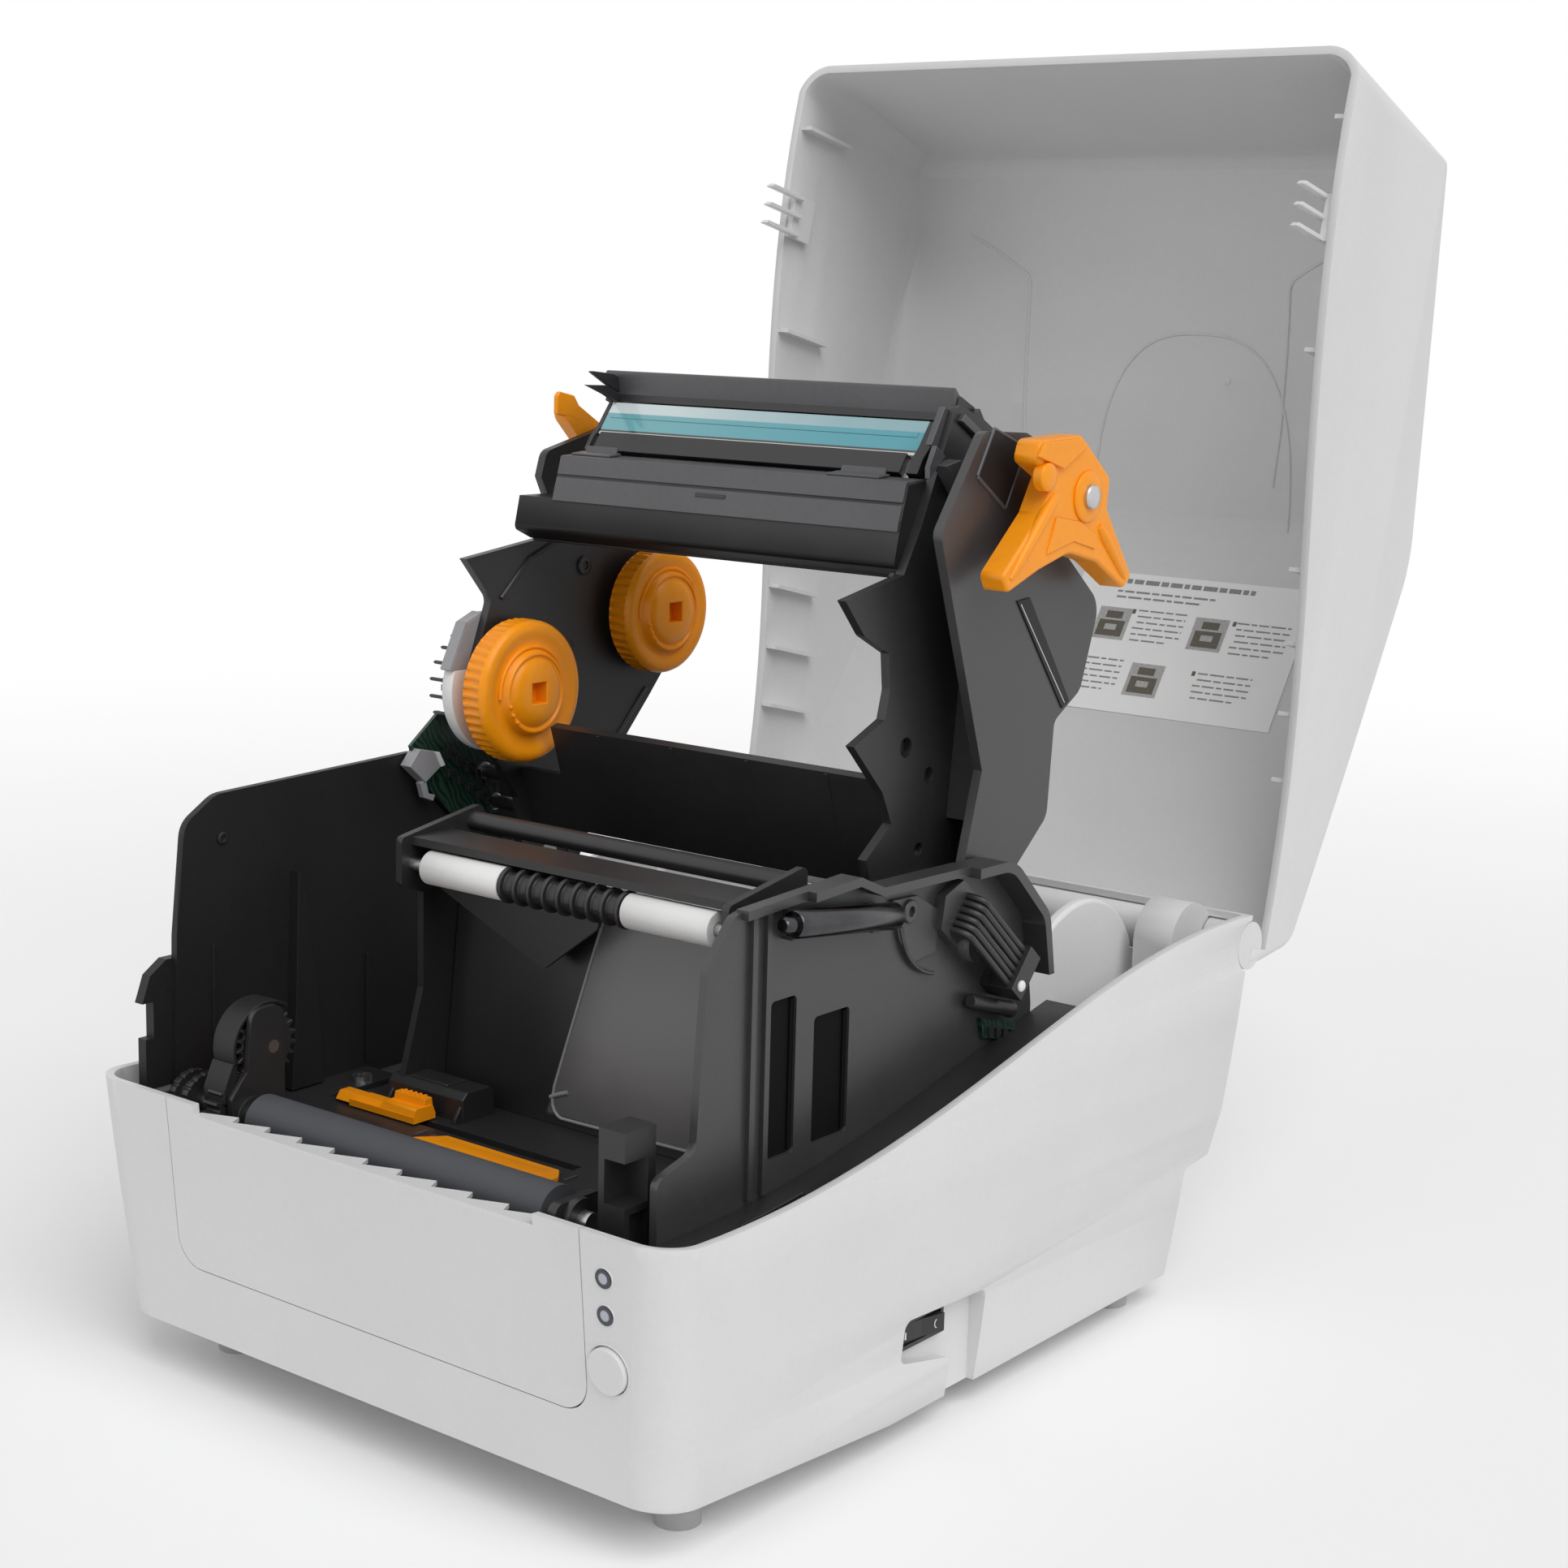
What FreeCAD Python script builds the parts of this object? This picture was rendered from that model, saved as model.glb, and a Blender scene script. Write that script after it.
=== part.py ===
import os
import math
import FreeCAD
import Part

os.makedirs("parts", exist_ok=True)
V = FreeCAD.Vector

# Everything is in millimetres: X to the right, -Y to the front, Z up, feet on Z = 0.
# The lid is drawn shut and swung open about its hinge at the end; the print unit is drawn raised.
ORIGIN_SHIFT = -60.0

# Case
RIM = [(-145, 90.2), (-95, 89.9), (-45, 96), (10, 107.5), (60, 118.3), (105, 124.3), (148, 125)]
SIDE_X = 114.0
SIDE_Z = 115.0
SIDE_RADIUS = 810.0
WALL = 2.5
LID_WALL = 2.8
RIM_GAP = 0.8
CORNER_RADIUS = 13.0
BASE_Z = 8.5
FRONT_BOTTOM = (-138.5, 16.5)
REAR_STEP_Z = 45.0

# Lid hinge
HINGE_Y = 147.7
HINGE_Z = 114.7
LID_ANGLE = 102.83
BARREL_RADIUS = 8.0
CRADLE_RADIUS = 8.6
TOWER_X = (85.0, 99.0)
HINGE_PIN_RADIUS = 2.5
RUNNING = 0.05

# Chassis
FLOOR_Z = 74.5
CHAMBER_Z = 52.0
SHEET = 2.5
LEFT_WALL_X = (-98.0, -95.5)
RIGHT_WALL_X = (91.0, 93.5)
DECK_DROP = 6.0
UPRIGHT_LEFT = (-60.0, -57.5)
UPRIGHT_RIGHT = (67.0, 69.5)

# Print unit
PIVOT = (14.0, 137.0)
PIVOT_RADIUS = 4.0
PLATE_LEFT = (-80.0, -77.0)
PLATE_RIGHT = (72.0, 75.0)
SHELL_X = (87.0, 90.0)
HUB_1 = (-6.7, 194.9)
HUB_2 = (59.6, 215.5)
HUB_SHAFT_RADIUS = 3.0
LEVER_AXIS = (48.0, 266.0)
LEVER_SHAFT_RADIUS = 2.5
GLAZE = (24.0, 282.0)
HEAD_ANGLE = 54.0

# Rollers and gears
PLATEN = (-125.0, 82.6)
PLATEN_RADIUS = 7.7
PLATEN_LENGTH = 116.0
PLATEN_SHAFT_RADIUS = 3.0
MODULE = 1.0
GEAR_X = (-73.0, -67.0)
PLATEN_TEETH = 21
RIBBON_TEETH = 21
REDUCER_TEETH = 27
PINION_TEETH = 11
RIBBON_GEAR_ANGLE = 65.0
REDUCER_ANGLE = -57.4
PINION_ANGLE = -50.2
GUIDE = (-66.0, 149.5)

# Roll holder
HOLDER_Y = 97.5
HOLDER_Z = 98.0
HOLDER_RADIUS = 35.0
HOLDER_X = (76.0, 80.0)
RACK_TEETH = 16
HOLDER_PINION_TEETH = 16

solids = {}


def flat(points, place):
    """Closed outline; a corner given as (u, v, r) is rounded with radius r."""
    corners = []
    count = len(points)
    for i, point in enumerate(points):
        here = V(point[0], point[1], 0)
        if len(point) == 2:
            corners.append([here])
            continue
        after = points[(i + 1) % count]
        a = (V(points[i - 1][0], points[i - 1][1], 0) - here).normalize()
        b = (V(after[0], after[1], 0) - here).normalize()
        half = a.getAngle(b) / 2
        reach = point[2] / math.tan(half)
        centre = here + (a + b).normalize() * (point[2] / math.sin(half))
        middle = centre + (here - centre).normalize() * point[2]
        corners.append([here + a * reach, middle, here + b * reach])
    edges = []
    for i, corner in enumerate(corners):
        spots = [place(p.x, p.y) for p in corner]
        if len(spots) == 3:
            edges.append(Part.Arc(*spots).toShape())
        start = place(corners[(i + 1) % count][0].x, corners[(i + 1) % count][0].y)
        edges.append(Part.LineSegment(spots[-1], start).toShape())
    return Part.Face(Part.Wire(edges))


def plate_x(points, x0, x1):
    return flat(points, lambda y, z: V(x0, y, z)).extrude(V(x1 - x0, 0, 0))


def plate_y(points, y0, y1):
    return flat(points, lambda x, z: V(x, y0, z)).extrude(V(0, y1 - y0, 0))


def plate_z(points, z0, z1):
    return flat(points, lambda x, y: V(x, y, z0)).extrude(V(0, 0, z1 - z0))


def block(x0, x1, y0, y1, z0, z1):
    return Part.makeBox(x1 - x0, y1 - y0, z1 - z0, V(x0, y0, z0))


def rod_x(axis, radius, x0, x1):
    return Part.makeCylinder(radius, x1 - x0, V(x0, axis[0], axis[1]), V(1, 0, 0))


def rod_z(x, y, radius, z0, z1):
    return Part.makeCylinder(radius, z1 - z0, V(x, y, z0), V(0, 0, 1))


def join(*shapes):
    return shapes[0].fuse(list(shapes[1:])).removeSplitter()


def mirror_x(shape):
    return shape.mirror(V(0, 0, 0), V(1, 0, 0))


def rounded(shape, radius, wanted):
    edges = [edge for edge in shape.Edges if wanted(edge.CenterOfMass, edge)]
    return shape.makeFillet(radius, edges)


def rim_edge(lift):
    curve = Part.BSplineCurve()
    curve.interpolate([V(0, y, z + lift) for y, z in RIM])
    return curve.toShape()


def rim_z(y):
    """Rim height at one station along the case."""
    for first, second in zip(RIM, RIM[1:]):
        if y <= second[0]:
            share = (y - first[0]) / (second[0] - first[0])
            return first[1] + share * (second[1] - first[1])
    return RIM[-1][1]


def chain(edge, points):
    """Closed profile in the YZ plane: one curve, then straight lines back to its start."""
    ends = [edge.Vertexes[0].Point, edge.Vertexes[-1].Point]
    spots = [ends[1]] + [V(0, y, z) for y, z in points] + [ends[0]]
    lines = [Part.LineSegment(a, b).toShape() for a, b in zip(spots, spots[1:])]
    return Part.Face(Part.Wire([edge] + lines))


def barrel_section(inset):
    """Bulged cross-section of the case, the same for base and lid, run from front to back."""
    low, high, reach = 0.0, 215.0, 190.0
    half = SIDE_X - inset

    def at(z):
        return half - (z - SIDE_Z) ** 2 / (2 * SIDE_RADIUS)

    right = Part.Arc(V(at(low), -reach, low), V(half, -reach, SIDE_Z), V(at(high), -reach, high))
    left = Part.Arc(V(-at(high), -reach, high), V(-half, -reach, SIDE_Z), V(-at(low), -reach, low))
    top = Part.LineSegment(V(at(high), -reach, high), V(-at(high), -reach, high))
    bottom = Part.LineSegment(V(-at(low), -reach, low), V(at(low), -reach, low))
    wire = Part.Wire([edge.toShape() for edge in (right, top, left, bottom)])
    return Part.Face(wire).extrude(V(0, 2 * reach, 0))


def along_x(face):
    face.translate(V(-SIDE_X - 10, 0, 0))
    return face.extrude(V(2 * SIDE_X + 20, 0, 0))


def gear_shape(teeth, axis, x0, x1, bore, turn=0.0):
    """Spur gear on an X axis with straight-sided teeth and some backlash."""
    pitch = teeth * MODULE / 2
    tip = pitch + 0.85 * MODULE
    root = pitch - 1.15 * MODULE
    step = 2 * math.pi / teeth
    points = []
    for i in range(teeth):
        middle = i * step + turn
        for radius, part in ((root, -0.30), (tip, -0.11), (tip, 0.11), (root, 0.30)):
            angle = middle + part * step
            points.append((axis[0] + radius * math.cos(angle), axis[1] + radius * math.sin(angle)))
    return plate_x(points, x0, x1).cut(rod_x(axis, bore, x0 - 1, x1 + 1))


def polar(axis, distance, degrees):
    angle = math.radians(degrees)
    return (axis[0] + distance * math.cos(angle), axis[1] + distance * math.sin(angle))


def head_point(along, out):
    """A point given along the head's face and out from it, with the heater line at zero."""
    angle = math.radians(HEAD_ANGLE)
    y = GLAZE[0] + along * math.cos(angle) - out * math.sin(angle)
    z = GLAZE[1] + along * math.sin(angle) + out * math.cos(angle)
    return (y, z)


def head_plate(along0, along1, out0, out1, x0, x1):
    corners = [(along0, out0), (along1, out0), (along1, out1), (along0, out1)]
    return plate_x([head_point(a, b) for a, b in corners], x0, x1)


# Base housing
def base_block(inset, radius):
    lower = [
        (137.5 - inset, 61),
        (131.5 - inset, REAR_STEP_Z + 1.5 + inset),
        (117 - inset, REAR_STEP_Z + inset),
        (114 - inset, BASE_Z + inset),
        (-40, BASE_Z + inset),
        (FRONT_BOTTOM[0] + inset, FRONT_BOTTOM[1] + inset),
    ]
    if inset:
        front, rear = -145 + inset, 148 - inset
        top = Part.LineSegment(V(0, front, 150), V(0, rear, 150)).toShape()
        profile = chain(top, [(rear, 125)] + lower + [(front, 90.2)])
    else:
        profile = chain(rim_edge(0), lower)
    solid = along_x(profile).common(barrel_section(inset))

    def upright(c, edge):
        return c.y < -135 and abs(c.x) > 100 and edge.BoundBox.ZLength > 30

    return rounded(solid, radius, upright)


def front_opening(gap):
    """Outline of the front panel in its opening, seen from the front."""
    left, right, low = -77.5 - gap, 83 + gap, 38.5 - gap
    return plate_y([(left, low, 9), (right, low, 9), (right, 120), (left, 120)], -160, -130)


outer = base_block(0, CORNER_RADIUS)
inner = base_block(WALL, CORNER_RADIUS - WALL)
shell = outer.cut(inner)
hinge = (HINGE_Y, HINGE_Z)
front_panel = shell.common(front_opening(0))
housing = shell.cut(front_opening(0.3)).cut(rod_x(hinge, CRADLE_RADIUS, -130, 130))


# Front panel with its lowered saw-tooth lip
LIP_Z = 87.0
LIP_X = (-66.0, 67.0)
TOOTH_COUNT = 10
TOOTH_DEPTH = 4.2


def tear_lip():
    pitch = (LIP_X[1] - LIP_X[0]) / TOOTH_COUNT
    points = [(LIP_X[1], -144.6), (LIP_X[0], -144.6)]
    for i in range(TOOTH_COUNT):
        x = LIP_X[0] + i * pitch
        points.append((x, -141.5))
        points.append((x + 0.85 * pitch, -141.5 + TOOTH_DEPTH))
    points.append((LIP_X[1], -141.5))
    return plate_z(points, LIP_Z - 1.2, LIP_Z)


front_panel = front_panel.cut(block(LIP_X[0], LIP_X[1], -150, -130, LIP_Z - 1.2, 100))
front_panel = join(front_panel, tear_lip())
solids["front_panel"] = front_panel

# Button and lights on the right of the front face
FRONT_TILT = math.degrees(math.atan2(6.5, 73.7))
BUTTON = (91.0, 53.5, 6.4)
LIGHTS = [(91.0, 78.7), (91.0, 68.6)]
LIGHT_RADIUS = 2.6


def front_y(z):
    return -145 + (90.2 - z) * 6.5 / 73.7


def front_rod(x, z, radius, proud, deep):
    """Round piece square to the leaning front face."""
    tilt = math.radians(FRONT_TILT)
    inward = V(0, math.cos(tilt), math.sin(tilt))
    start = V(x, front_y(z), z) - inward * proud
    return Part.makeCylinder(radius, proud + deep, start, inward)


housing = housing.cut(front_rod(BUTTON[0], BUTTON[1], BUTTON[2] + 0.35, 5, 8))
collar = front_rod(BUTTON[0], BUTTON[1], BUTTON[2] + 1.2, -WALL + 0.5, 9)
collar = collar.cut(front_rod(BUTTON[0], BUTTON[1], BUTTON[2] + 0.35, 5, 7.5))
housing = join(housing, collar)
button = front_rod(BUTTON[0], BUTTON[1], BUTTON[2], 1.4, 3.6)
solids["feed_button"] = rounded(button, 0.6, lambda c, edge: c.y < front_y(BUTTON[1]) - 1)
for x, z in LIGHTS:
    housing = housing.cut(front_rod(x, z, LIGHT_RADIUS, 5, 8))
light_pipes = [front_rod(x, z, LIGHT_RADIUS, 0.5, WALL + 0.4) for x, z in LIGHTS]
solids["indicator_lights"] = Part.makeCompound(light_pipes)

# Power switch in a scooped pocket on the right side
POCKET = [(-39, 40, 3), (2, 38, 3), (2, 4), (-13, 4), (-13, 21, 3), (-39, 27, 3)]
POCKET_FLOOR_X = 104.5
SWITCH_Y = (-36.0, -14.0)
SWITCH_Z = (28.5, 37.5)
tray = plate_x([(-42, 43), (5, 41), (5, 9), (-16, 9), (-16, 18), (-42, 24)], 102, 112)
housing = join(housing, tray.common(outer))
housing = housing.cut(plate_x(POCKET, POCKET_FLOOR_X, 120))
housing = housing.cut(block(95, 110, SWITCH_Y[0], SWITCH_Y[1], SWITCH_Z[0], SWITCH_Z[1]))
frame = block(92, 106.5, SWITCH_Y[0] + 0.2, SWITCH_Y[1] - 0.2, SWITCH_Z[0] + 0.2, SWITCH_Z[1] - 0.2)
well = block(98, 110, SWITCH_Y[0] + 1.6, SWITCH_Y[1] - 1.6, SWITCH_Z[0] + 1.4, SWITCH_Z[1] - 1.4)
ROCKER_Y = (SWITCH_Y[0] + SWITCH_Y[1]) / 2
ROCKER_X = 103.5
TRUNNION_RADIUS = 1.2
TRUNNION_Z = (SWITCH_Z[0] + 0.8, SWITCH_Z[1] - 0.8)
trunnion_hole = rod_z(ROCKER_X, ROCKER_Y, TRUNNION_RADIUS + RUNNING, *TRUNNION_Z)
solids["switch_frame"] = frame.cut(well).cut(trunnion_hole)
ROCKER = [
    (-8.2, 105.6), (0, 106.4), (8.2, 108.6), (8.2, 104.8), (2.5, 101.5), (-2.5, 101.5), (-8.2, 102.2),
]
rocker_points = [(x, ROCKER_Y + y) for y, x in ROCKER]
rocker = plate_z(rocker_points, SWITCH_Z[0] + 1.8, SWITCH_Z[1] - 1.8)
trunnions = rod_z(ROCKER_X, ROCKER_Y, TRUNNION_RADIUS, TRUNNION_Z[0] + 0.05, TRUNNION_Z[1] - 0.05)
solids["power_rocker"] = join(rocker, trunnions)

# Sockets in the recessed lower rear face
INLET = (-62, -34, 16.5, 40)
SERIAL = (-12, 19, 17, 30)
USB = (40, 52, 17, 28)


def socket(x0, x1, z0, z1, wall, tongue):
    case = block(x0, x1, 98, 119, z0, z1)
    case = case.cut(block(x0 + wall, x1 - wall, 106, 130, z0 + wall, z1 - wall))
    middle_x, middle_z = (x0 + x1) / 2, (z0 + z1) / 2
    half_x, half_z = tongue
    core = block(middle_x - half_x, middle_x + half_x, 105, 117.5, middle_z - half_z, middle_z + half_z)
    return join(case, core)


for x0, x1, z0, z1 in (INLET, SERIAL, USB):
    housing = housing.cut(block(x0 - 0.2, x1 + 0.2, 100, 125, z0 - 0.2, z1 + 0.2))
solids["power_inlet"] = socket(*INLET, 2.5, (6, 3))
data_sockets = [socket(*SERIAL, 1.2, (11, 2.5)), socket(*USB, 1.0, (3, 2))]
solids["data_sockets"] = Part.makeCompound(data_sockets)

# Hinge towers inside the base
tower = join(
    plate_x([(121, 92), (121, 116), (146, 116), (143.5, 92)], *TOWER_X),
    rod_x((134, 116), 13, *TOWER_X),
    rod_x(hinge, BARREL_RADIUS - 0.5, *TOWER_X),
    plate_x([(134, 104), (134, 129), (149.5, 122), (147.7, 108)], *TOWER_X),
)
tower = tower.cut(rod_x(hinge, HINGE_PIN_RADIUS + RUNNING, 80, 105))
housing = join(housing, tower, mirror_x(tower))

# Bosses that carry the chassis, with one screw through the floor into each
BOSSES = [
    (-85, -62, FLOOR_Z - SHEET), (80, -90, FLOOR_Z - SHEET),
    (-85, 40, CHAMBER_Z - SHEET), (80, 40, CHAMBER_Z - SHEET),
]
SCREW_RADIUS = 1.6


def screw(x, y, seat, depth):
    shank = rod_z(x, y, SCREW_RADIUS, seat - depth, seat + 0.5)
    body = join(rod_z(x, y, 3.2, seat, seat + 2), shank)
    slot = block(x - 1.8, x + 1.8, y - 0.4, y + 0.4, seat + 1, seat + 3)
    cross_slot = block(x - 0.4, x + 0.4, y - 1.8, y + 1.8, seat + 1, seat + 3)
    return body.cut(slot).cut(cross_slot)


for x, y, top in BOSSES:
    boss = rod_z(x, y, 4.5, BASE_Z + 0.5, top)
    housing = join(housing, boss.common(outer)).cut(rod_z(x, y, SCREW_RADIUS, top - 12, top + 1))
screws = [screw(x, y, top + SHEET, 12) for x, y, top in BOSSES]

# Bottom cover with vents, its screws and the feet
COVER_X = 72.0
COVER_Y = (-32.0, 92.0)
COVER_GAP = 0.3
VENT_COUNT = 12
VENT_PITCH = 10.0
VENT = [(-2, -20, 1.9), (2, -20, 1.9), (2, 20, 1.9), (-2, 20, 1.9)]


def cover_block(gap, z0, z1):
    return block(-COVER_X - gap, COVER_X + gap, COVER_Y[0] - gap, COVER_Y[1] + gap, z0, z1)


housing = housing.cut(cover_block(COVER_GAP, 0, BASE_Z + WALL + 0.5))
cover = cover_block(0, BASE_Z, BASE_Z + WALL)
for i in range(VENT_COUNT):
    vent = plate_z(VENT, 0, 20)
    vent.translate(V(VENT_PITCH * (i - (VENT_COUNT - 1) / 2), 0, 0))
    cover = cover.cut(vent)
STANDOFFS = [(x, y) for x in (-60, 60) for y in (-26, 86)]
BOARD_Z = 14.5
for x, y in STANDOFFS:
    cover = join(cover, rod_z(x, y, 3.5, BASE_Z + 1, BOARD_Z))
COVER_SCREW_X = 66.0
LEDGE_TOP = 13.5


def cover_ledge(y):
    """Ledge on the right of the cover's opening that takes one cover screw."""
    foot = block(COVER_X + 1, 80, y - 7, y + 7, BASE_Z + 1, LEDGE_TOP)
    shelf = block(62, 80, y - 7, y + 7, BASE_Z + WALL, LEDGE_TOP)
    return join(shelf, foot).cut(rod_z(COVER_SCREW_X, y, SCREW_RADIUS, 5, 20))


for y in (0, 60):
    housing = join(housing, cover_ledge(y), mirror_x(cover_ledge(y)))
    for x in (-COVER_SCREW_X, COVER_SCREW_X):
        cover = cover.cut(rod_z(x, y, SCREW_RADIUS, 5, 20))
        cover = cover.cut(rod_z(x, y, 3.2, 5, BASE_Z + 1))
        shank = rod_z(x, y, SCREW_RADIUS, BASE_Z + 0.5, LEDGE_TOP - 0.5)
        screws.append(join(rod_z(x, y, 3.0, BASE_Z, BASE_Z + 1), shank))
solids["bottom_cover"] = cover
solids["case_screws"] = Part.makeCompound(screws)
board = block(-70, 68, -28, 104, BOARD_Z, BOARD_Z + 1.6)
for x, y in STANDOFFS:
    board = board.cut(rod_z(x, y, 1.5, 0, 30))
solids["main_board"] = board
FEET = [(88, -110), (-88, -110), (94, 100), (-94, 100)]
solids["rubber_feet"] = Part.makeCompound([rod_z(x, y, 6.5, 0, 20).cut(outer) for x, y in FEET])
solids["base_housing"] = housing


# Lid, drawn shut
LID_FRONT = (-134.0, 171.0)
LID_CREST = (8.0, 200.5)
LID_TAIL = (146.5, 147.0)
LID_REAR_Y = HINGE_Y + BARREL_RADIUS


def lid_corner(inset):
    """Sliver that rounds the right front corner along the leaning front face."""
    radius = CORNER_RADIUS - inset
    lean = V(0, LID_FRONT[0] + 145, LID_FRONT[1] - 90.2)
    x, y = SIDE_X - inset, -145 + inset
    turn = radius * (1 - math.sqrt(0.5))
    arc = Part.Arc(V(x, y + radius, 90.2), V(x - turn, y + turn, 90.2), V(x - radius, y, 90.2))
    spots = [V(x - radius, y, 90.2), V(x - radius, y - 9, 90.2), V(x + 9, y - 9, 90.2),
             V(x + 9, y + radius, 90.2), V(x, y + radius, 90.2)]
    lines = [Part.LineSegment(a, b).toShape() for a, b in zip(spots, spots[1:])]
    face = Part.Face(Part.Wire([arc.toShape()] + lines))
    face.translate(lean * -0.6)
    return face.extrude(lean * 2.2)


def lid_block(inset):
    points = [
        (-145 + inset - 0.15 * 11, 90.2 - 0.15 * 80.8),
        (LID_FRONT[0] + inset, LID_FRONT[1] - inset, 12 - inset),
        (LID_CREST[0], LID_CREST[1] - inset, 40),
        (LID_TAIL[0] - inset, LID_TAIL[1] - inset, 12 - inset),
        (LID_REAR_Y - inset, HINGE_Z + 3),
        (LID_REAR_Y - inset, 78),
    ]
    solid = plate_x(points, -SIDE_X - 10, SIDE_X + 10).common(barrel_section(inset))
    return solid.cut(lid_corner(inset)).cut(mirror_x(lid_corner(inset)))


def below_rim():
    back = LID_REAR_Y + 10
    step = HINGE_Z + RIM_GAP
    behind = [(148.6, 125 + RIM_GAP), (148.6, step), (back, step), (back, 0)]
    in_front = [(-160, 0), (-160, 90.2 + RIM_GAP)]
    return along_x(chain(rim_edge(RIM_GAP), behind + in_front))


def lid_side_edge(c, edge):
    long_enough = edge.BoundBox.YLength > 4 and edge.BoundBox.XLength < 9
    return long_enough and abs(c.x) > 105 and c.z > 142 and c.y > -120


LID_EDGE_RADIUS = 4.0
lid_outer = rounded(lid_block(0), LID_EDGE_RADIUS, lid_side_edge)
lid = lid_outer.cut(lid_block(LID_WALL)).cut(below_rim())

BARRELS = [(-113.8, -TOWER_X[1] - 0.6), (0.6 - TOWER_X[0], TOWER_X[0] - 0.6), (TOWER_X[1] + 0.6, 113.8)]
for side in (-1, 1):
    room = sorted((side * (TOWER_X[0] - 0.6), side * (TOWER_X[1] + 0.6)))
    lid = lid.cut(rod_x(hinge, BARREL_RADIUS + 0.2, *room))
lid = join(lid, *[rod_x(hinge, BARREL_RADIUS, *span) for span in BARRELS])

# Short ribs inside the lid's side walls
RIB_STATIONS = [-122, -47, 23, 47, 70, 92]
for y in RIB_STATIONS:
    low = rim_z(y) + 2
    rib = block(106.5, 112.3, y - 0.7, y + 0.7, low, low + 26)
    lid = join(lid, rib, mirror_x(rib))
pins = [rod_x(hinge, HINGE_PIN_RADIUS, 78, 106), rod_x(hinge, HINGE_PIN_RADIUS, -106, -78)]
for pin in pins:
    lid = lid.cut(pin)
solids["lid_shell"] = lid
solids["hinge_pins"] = Part.makeCompound(pins)

# Three-finger latch clips on the lid
CLIP_Y = (-97.0, -81.0)
CLIP_FINGERS = (-96.5, -89.75, -83.0)


def latch_clip():
    clip = block(108.2, 110.8, CLIP_Y[0], CLIP_Y[1], 92, 104)
    for y in CLIP_FINGERS:
        clip = join(clip, plate_x([(y, 95), (y + 1.5, 95), (y + 1.5, 74), (y, 76)], 106.2, 109))
    return clip


solids["lid_latches"] = Part.makeCompound([latch_clip(), mirror_x(latch_clip())])

# Sticker on the inside of the lid's rear slope
STICKER_X = (-19.0, 79.0)
STICKER_SPAN = (14.0, 72.0)


def sticker():
    crest = V(0, LID_CREST[0], LID_CREST[1] - LID_WALL)
    tail = V(0, LID_TAIL[0] - LID_WALL, LID_TAIL[1] - LID_WALL)
    down = (tail - crest).normalize()
    inward = V(0, down.z, -down.y)
    spots = [crest + down * STICKER_SPAN[0], crest + down * STICKER_SPAN[1]]
    spots += [spots[1] + inward * 0.4, spots[0] + inward * 0.4]
    return plate_x([(p.y, p.z) for p in spots], *STICKER_X)


solids["lid_sticker"] = sticker()

# Chassis floor: print floor in front, stepping down to the roll chamber
floor = plate_x([
    (-137, FLOOR_Z - SHEET), (-137, FLOOR_Z), (-50, FLOOR_Z), (-50, CHAMBER_Z), (127, CHAMBER_Z),
    (127, CHAMBER_Z - SHEET), (-50 - SHEET, CHAMBER_Z - SHEET), (-50 - SHEET, FLOOR_Z - SHEET),
], LEFT_WALL_X[1], RIGHT_WALL_X[0])
for x, y, top in BOSSES:
    floor = floor.cut(rod_z(x, y, SCREW_RADIUS, top - 5, top + 10))
KNOB_SLOT = (-62.0, 22.0, -80.5, -76.5)
floor = floor.cut(block(*KNOB_SLOT, 60, 80))
GEAR_SLOT_Y = (-134.0, -96.0)
floor = floor.cut(block(GEAR_X[0] - 1.5, GEAR_X[1] + 1, *GEAR_SLOT_Y, 60, 80))
floor = floor.cut(block(-92, -82, PLATEN[0] - 7, PLATEN[0] + 7, 60, 80))
floor = floor.cut(block(SHELL_X[0] - 0.6, RIGHT_WALL_X[0] + 1, -101, -84, 60, 80))
# Slots that let the hooks of the print unit's plates dip through the floor when it is shut
HOOK_SLOT_Y = (-79.0, -55.0)
for plate in (PLATE_LEFT, PLATE_RIGHT):
    floor = floor.cut(block(plate[0] - 0.6, plate[1] + 0.6, *HOOK_SLOT_Y, 60, 80))

# Deck: black ledge that follows the rim outside the chassis walls
DECK_SLOT = (101.0, 112.0, -102.0, -76.0)


def under_rim(drop):
    return along_x(chain(rim_edge(-drop), [(148, 20), (-145, 20)]))


deck = under_rim(DECK_DROP).cut(under_rim(DECK_DROP + SHEET))
deck = deck.common(base_block(WALL + 0.3, CORNER_RADIUS - WALL - 0.3))
deck = deck.common(block(-120, 120, -150, 55, 0, 200))
deck = deck.cut(block(LEFT_WALL_X[0], RIGHT_WALL_X[1], -136.8, 60, 0, 200))
deck = deck.cut(block(*DECK_SLOT, 60, 120)).cut(mirror_x(block(*DECK_SLOT, 60, 120)))
solids["deck"] = deck

# Chassis walls
left_wall = plate_x([
    (-127, 72), (-125.5, 131), (-122, 164, 8), (-110, 171.5, 10), (-30, 174.5, 6), (12, 163, 20),
    (30, 140, 10), (30, 72),
], *LEFT_WALL_X)
post = plate_x([
    (-136, 85.5), (-136, 101), (-133, 101), (-133, 112), (-137, 112), (-134, 120), (-128, 124),
    (-123, 124), (-123, 85.5),
], LEFT_WALL_X[0] - 3, LEFT_WALL_X[0] + 0.5)
solids["left_wall"] = join(left_wall, post).cut(rod_x(PIVOT, PIVOT_RADIUS, -110, -90))

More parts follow.
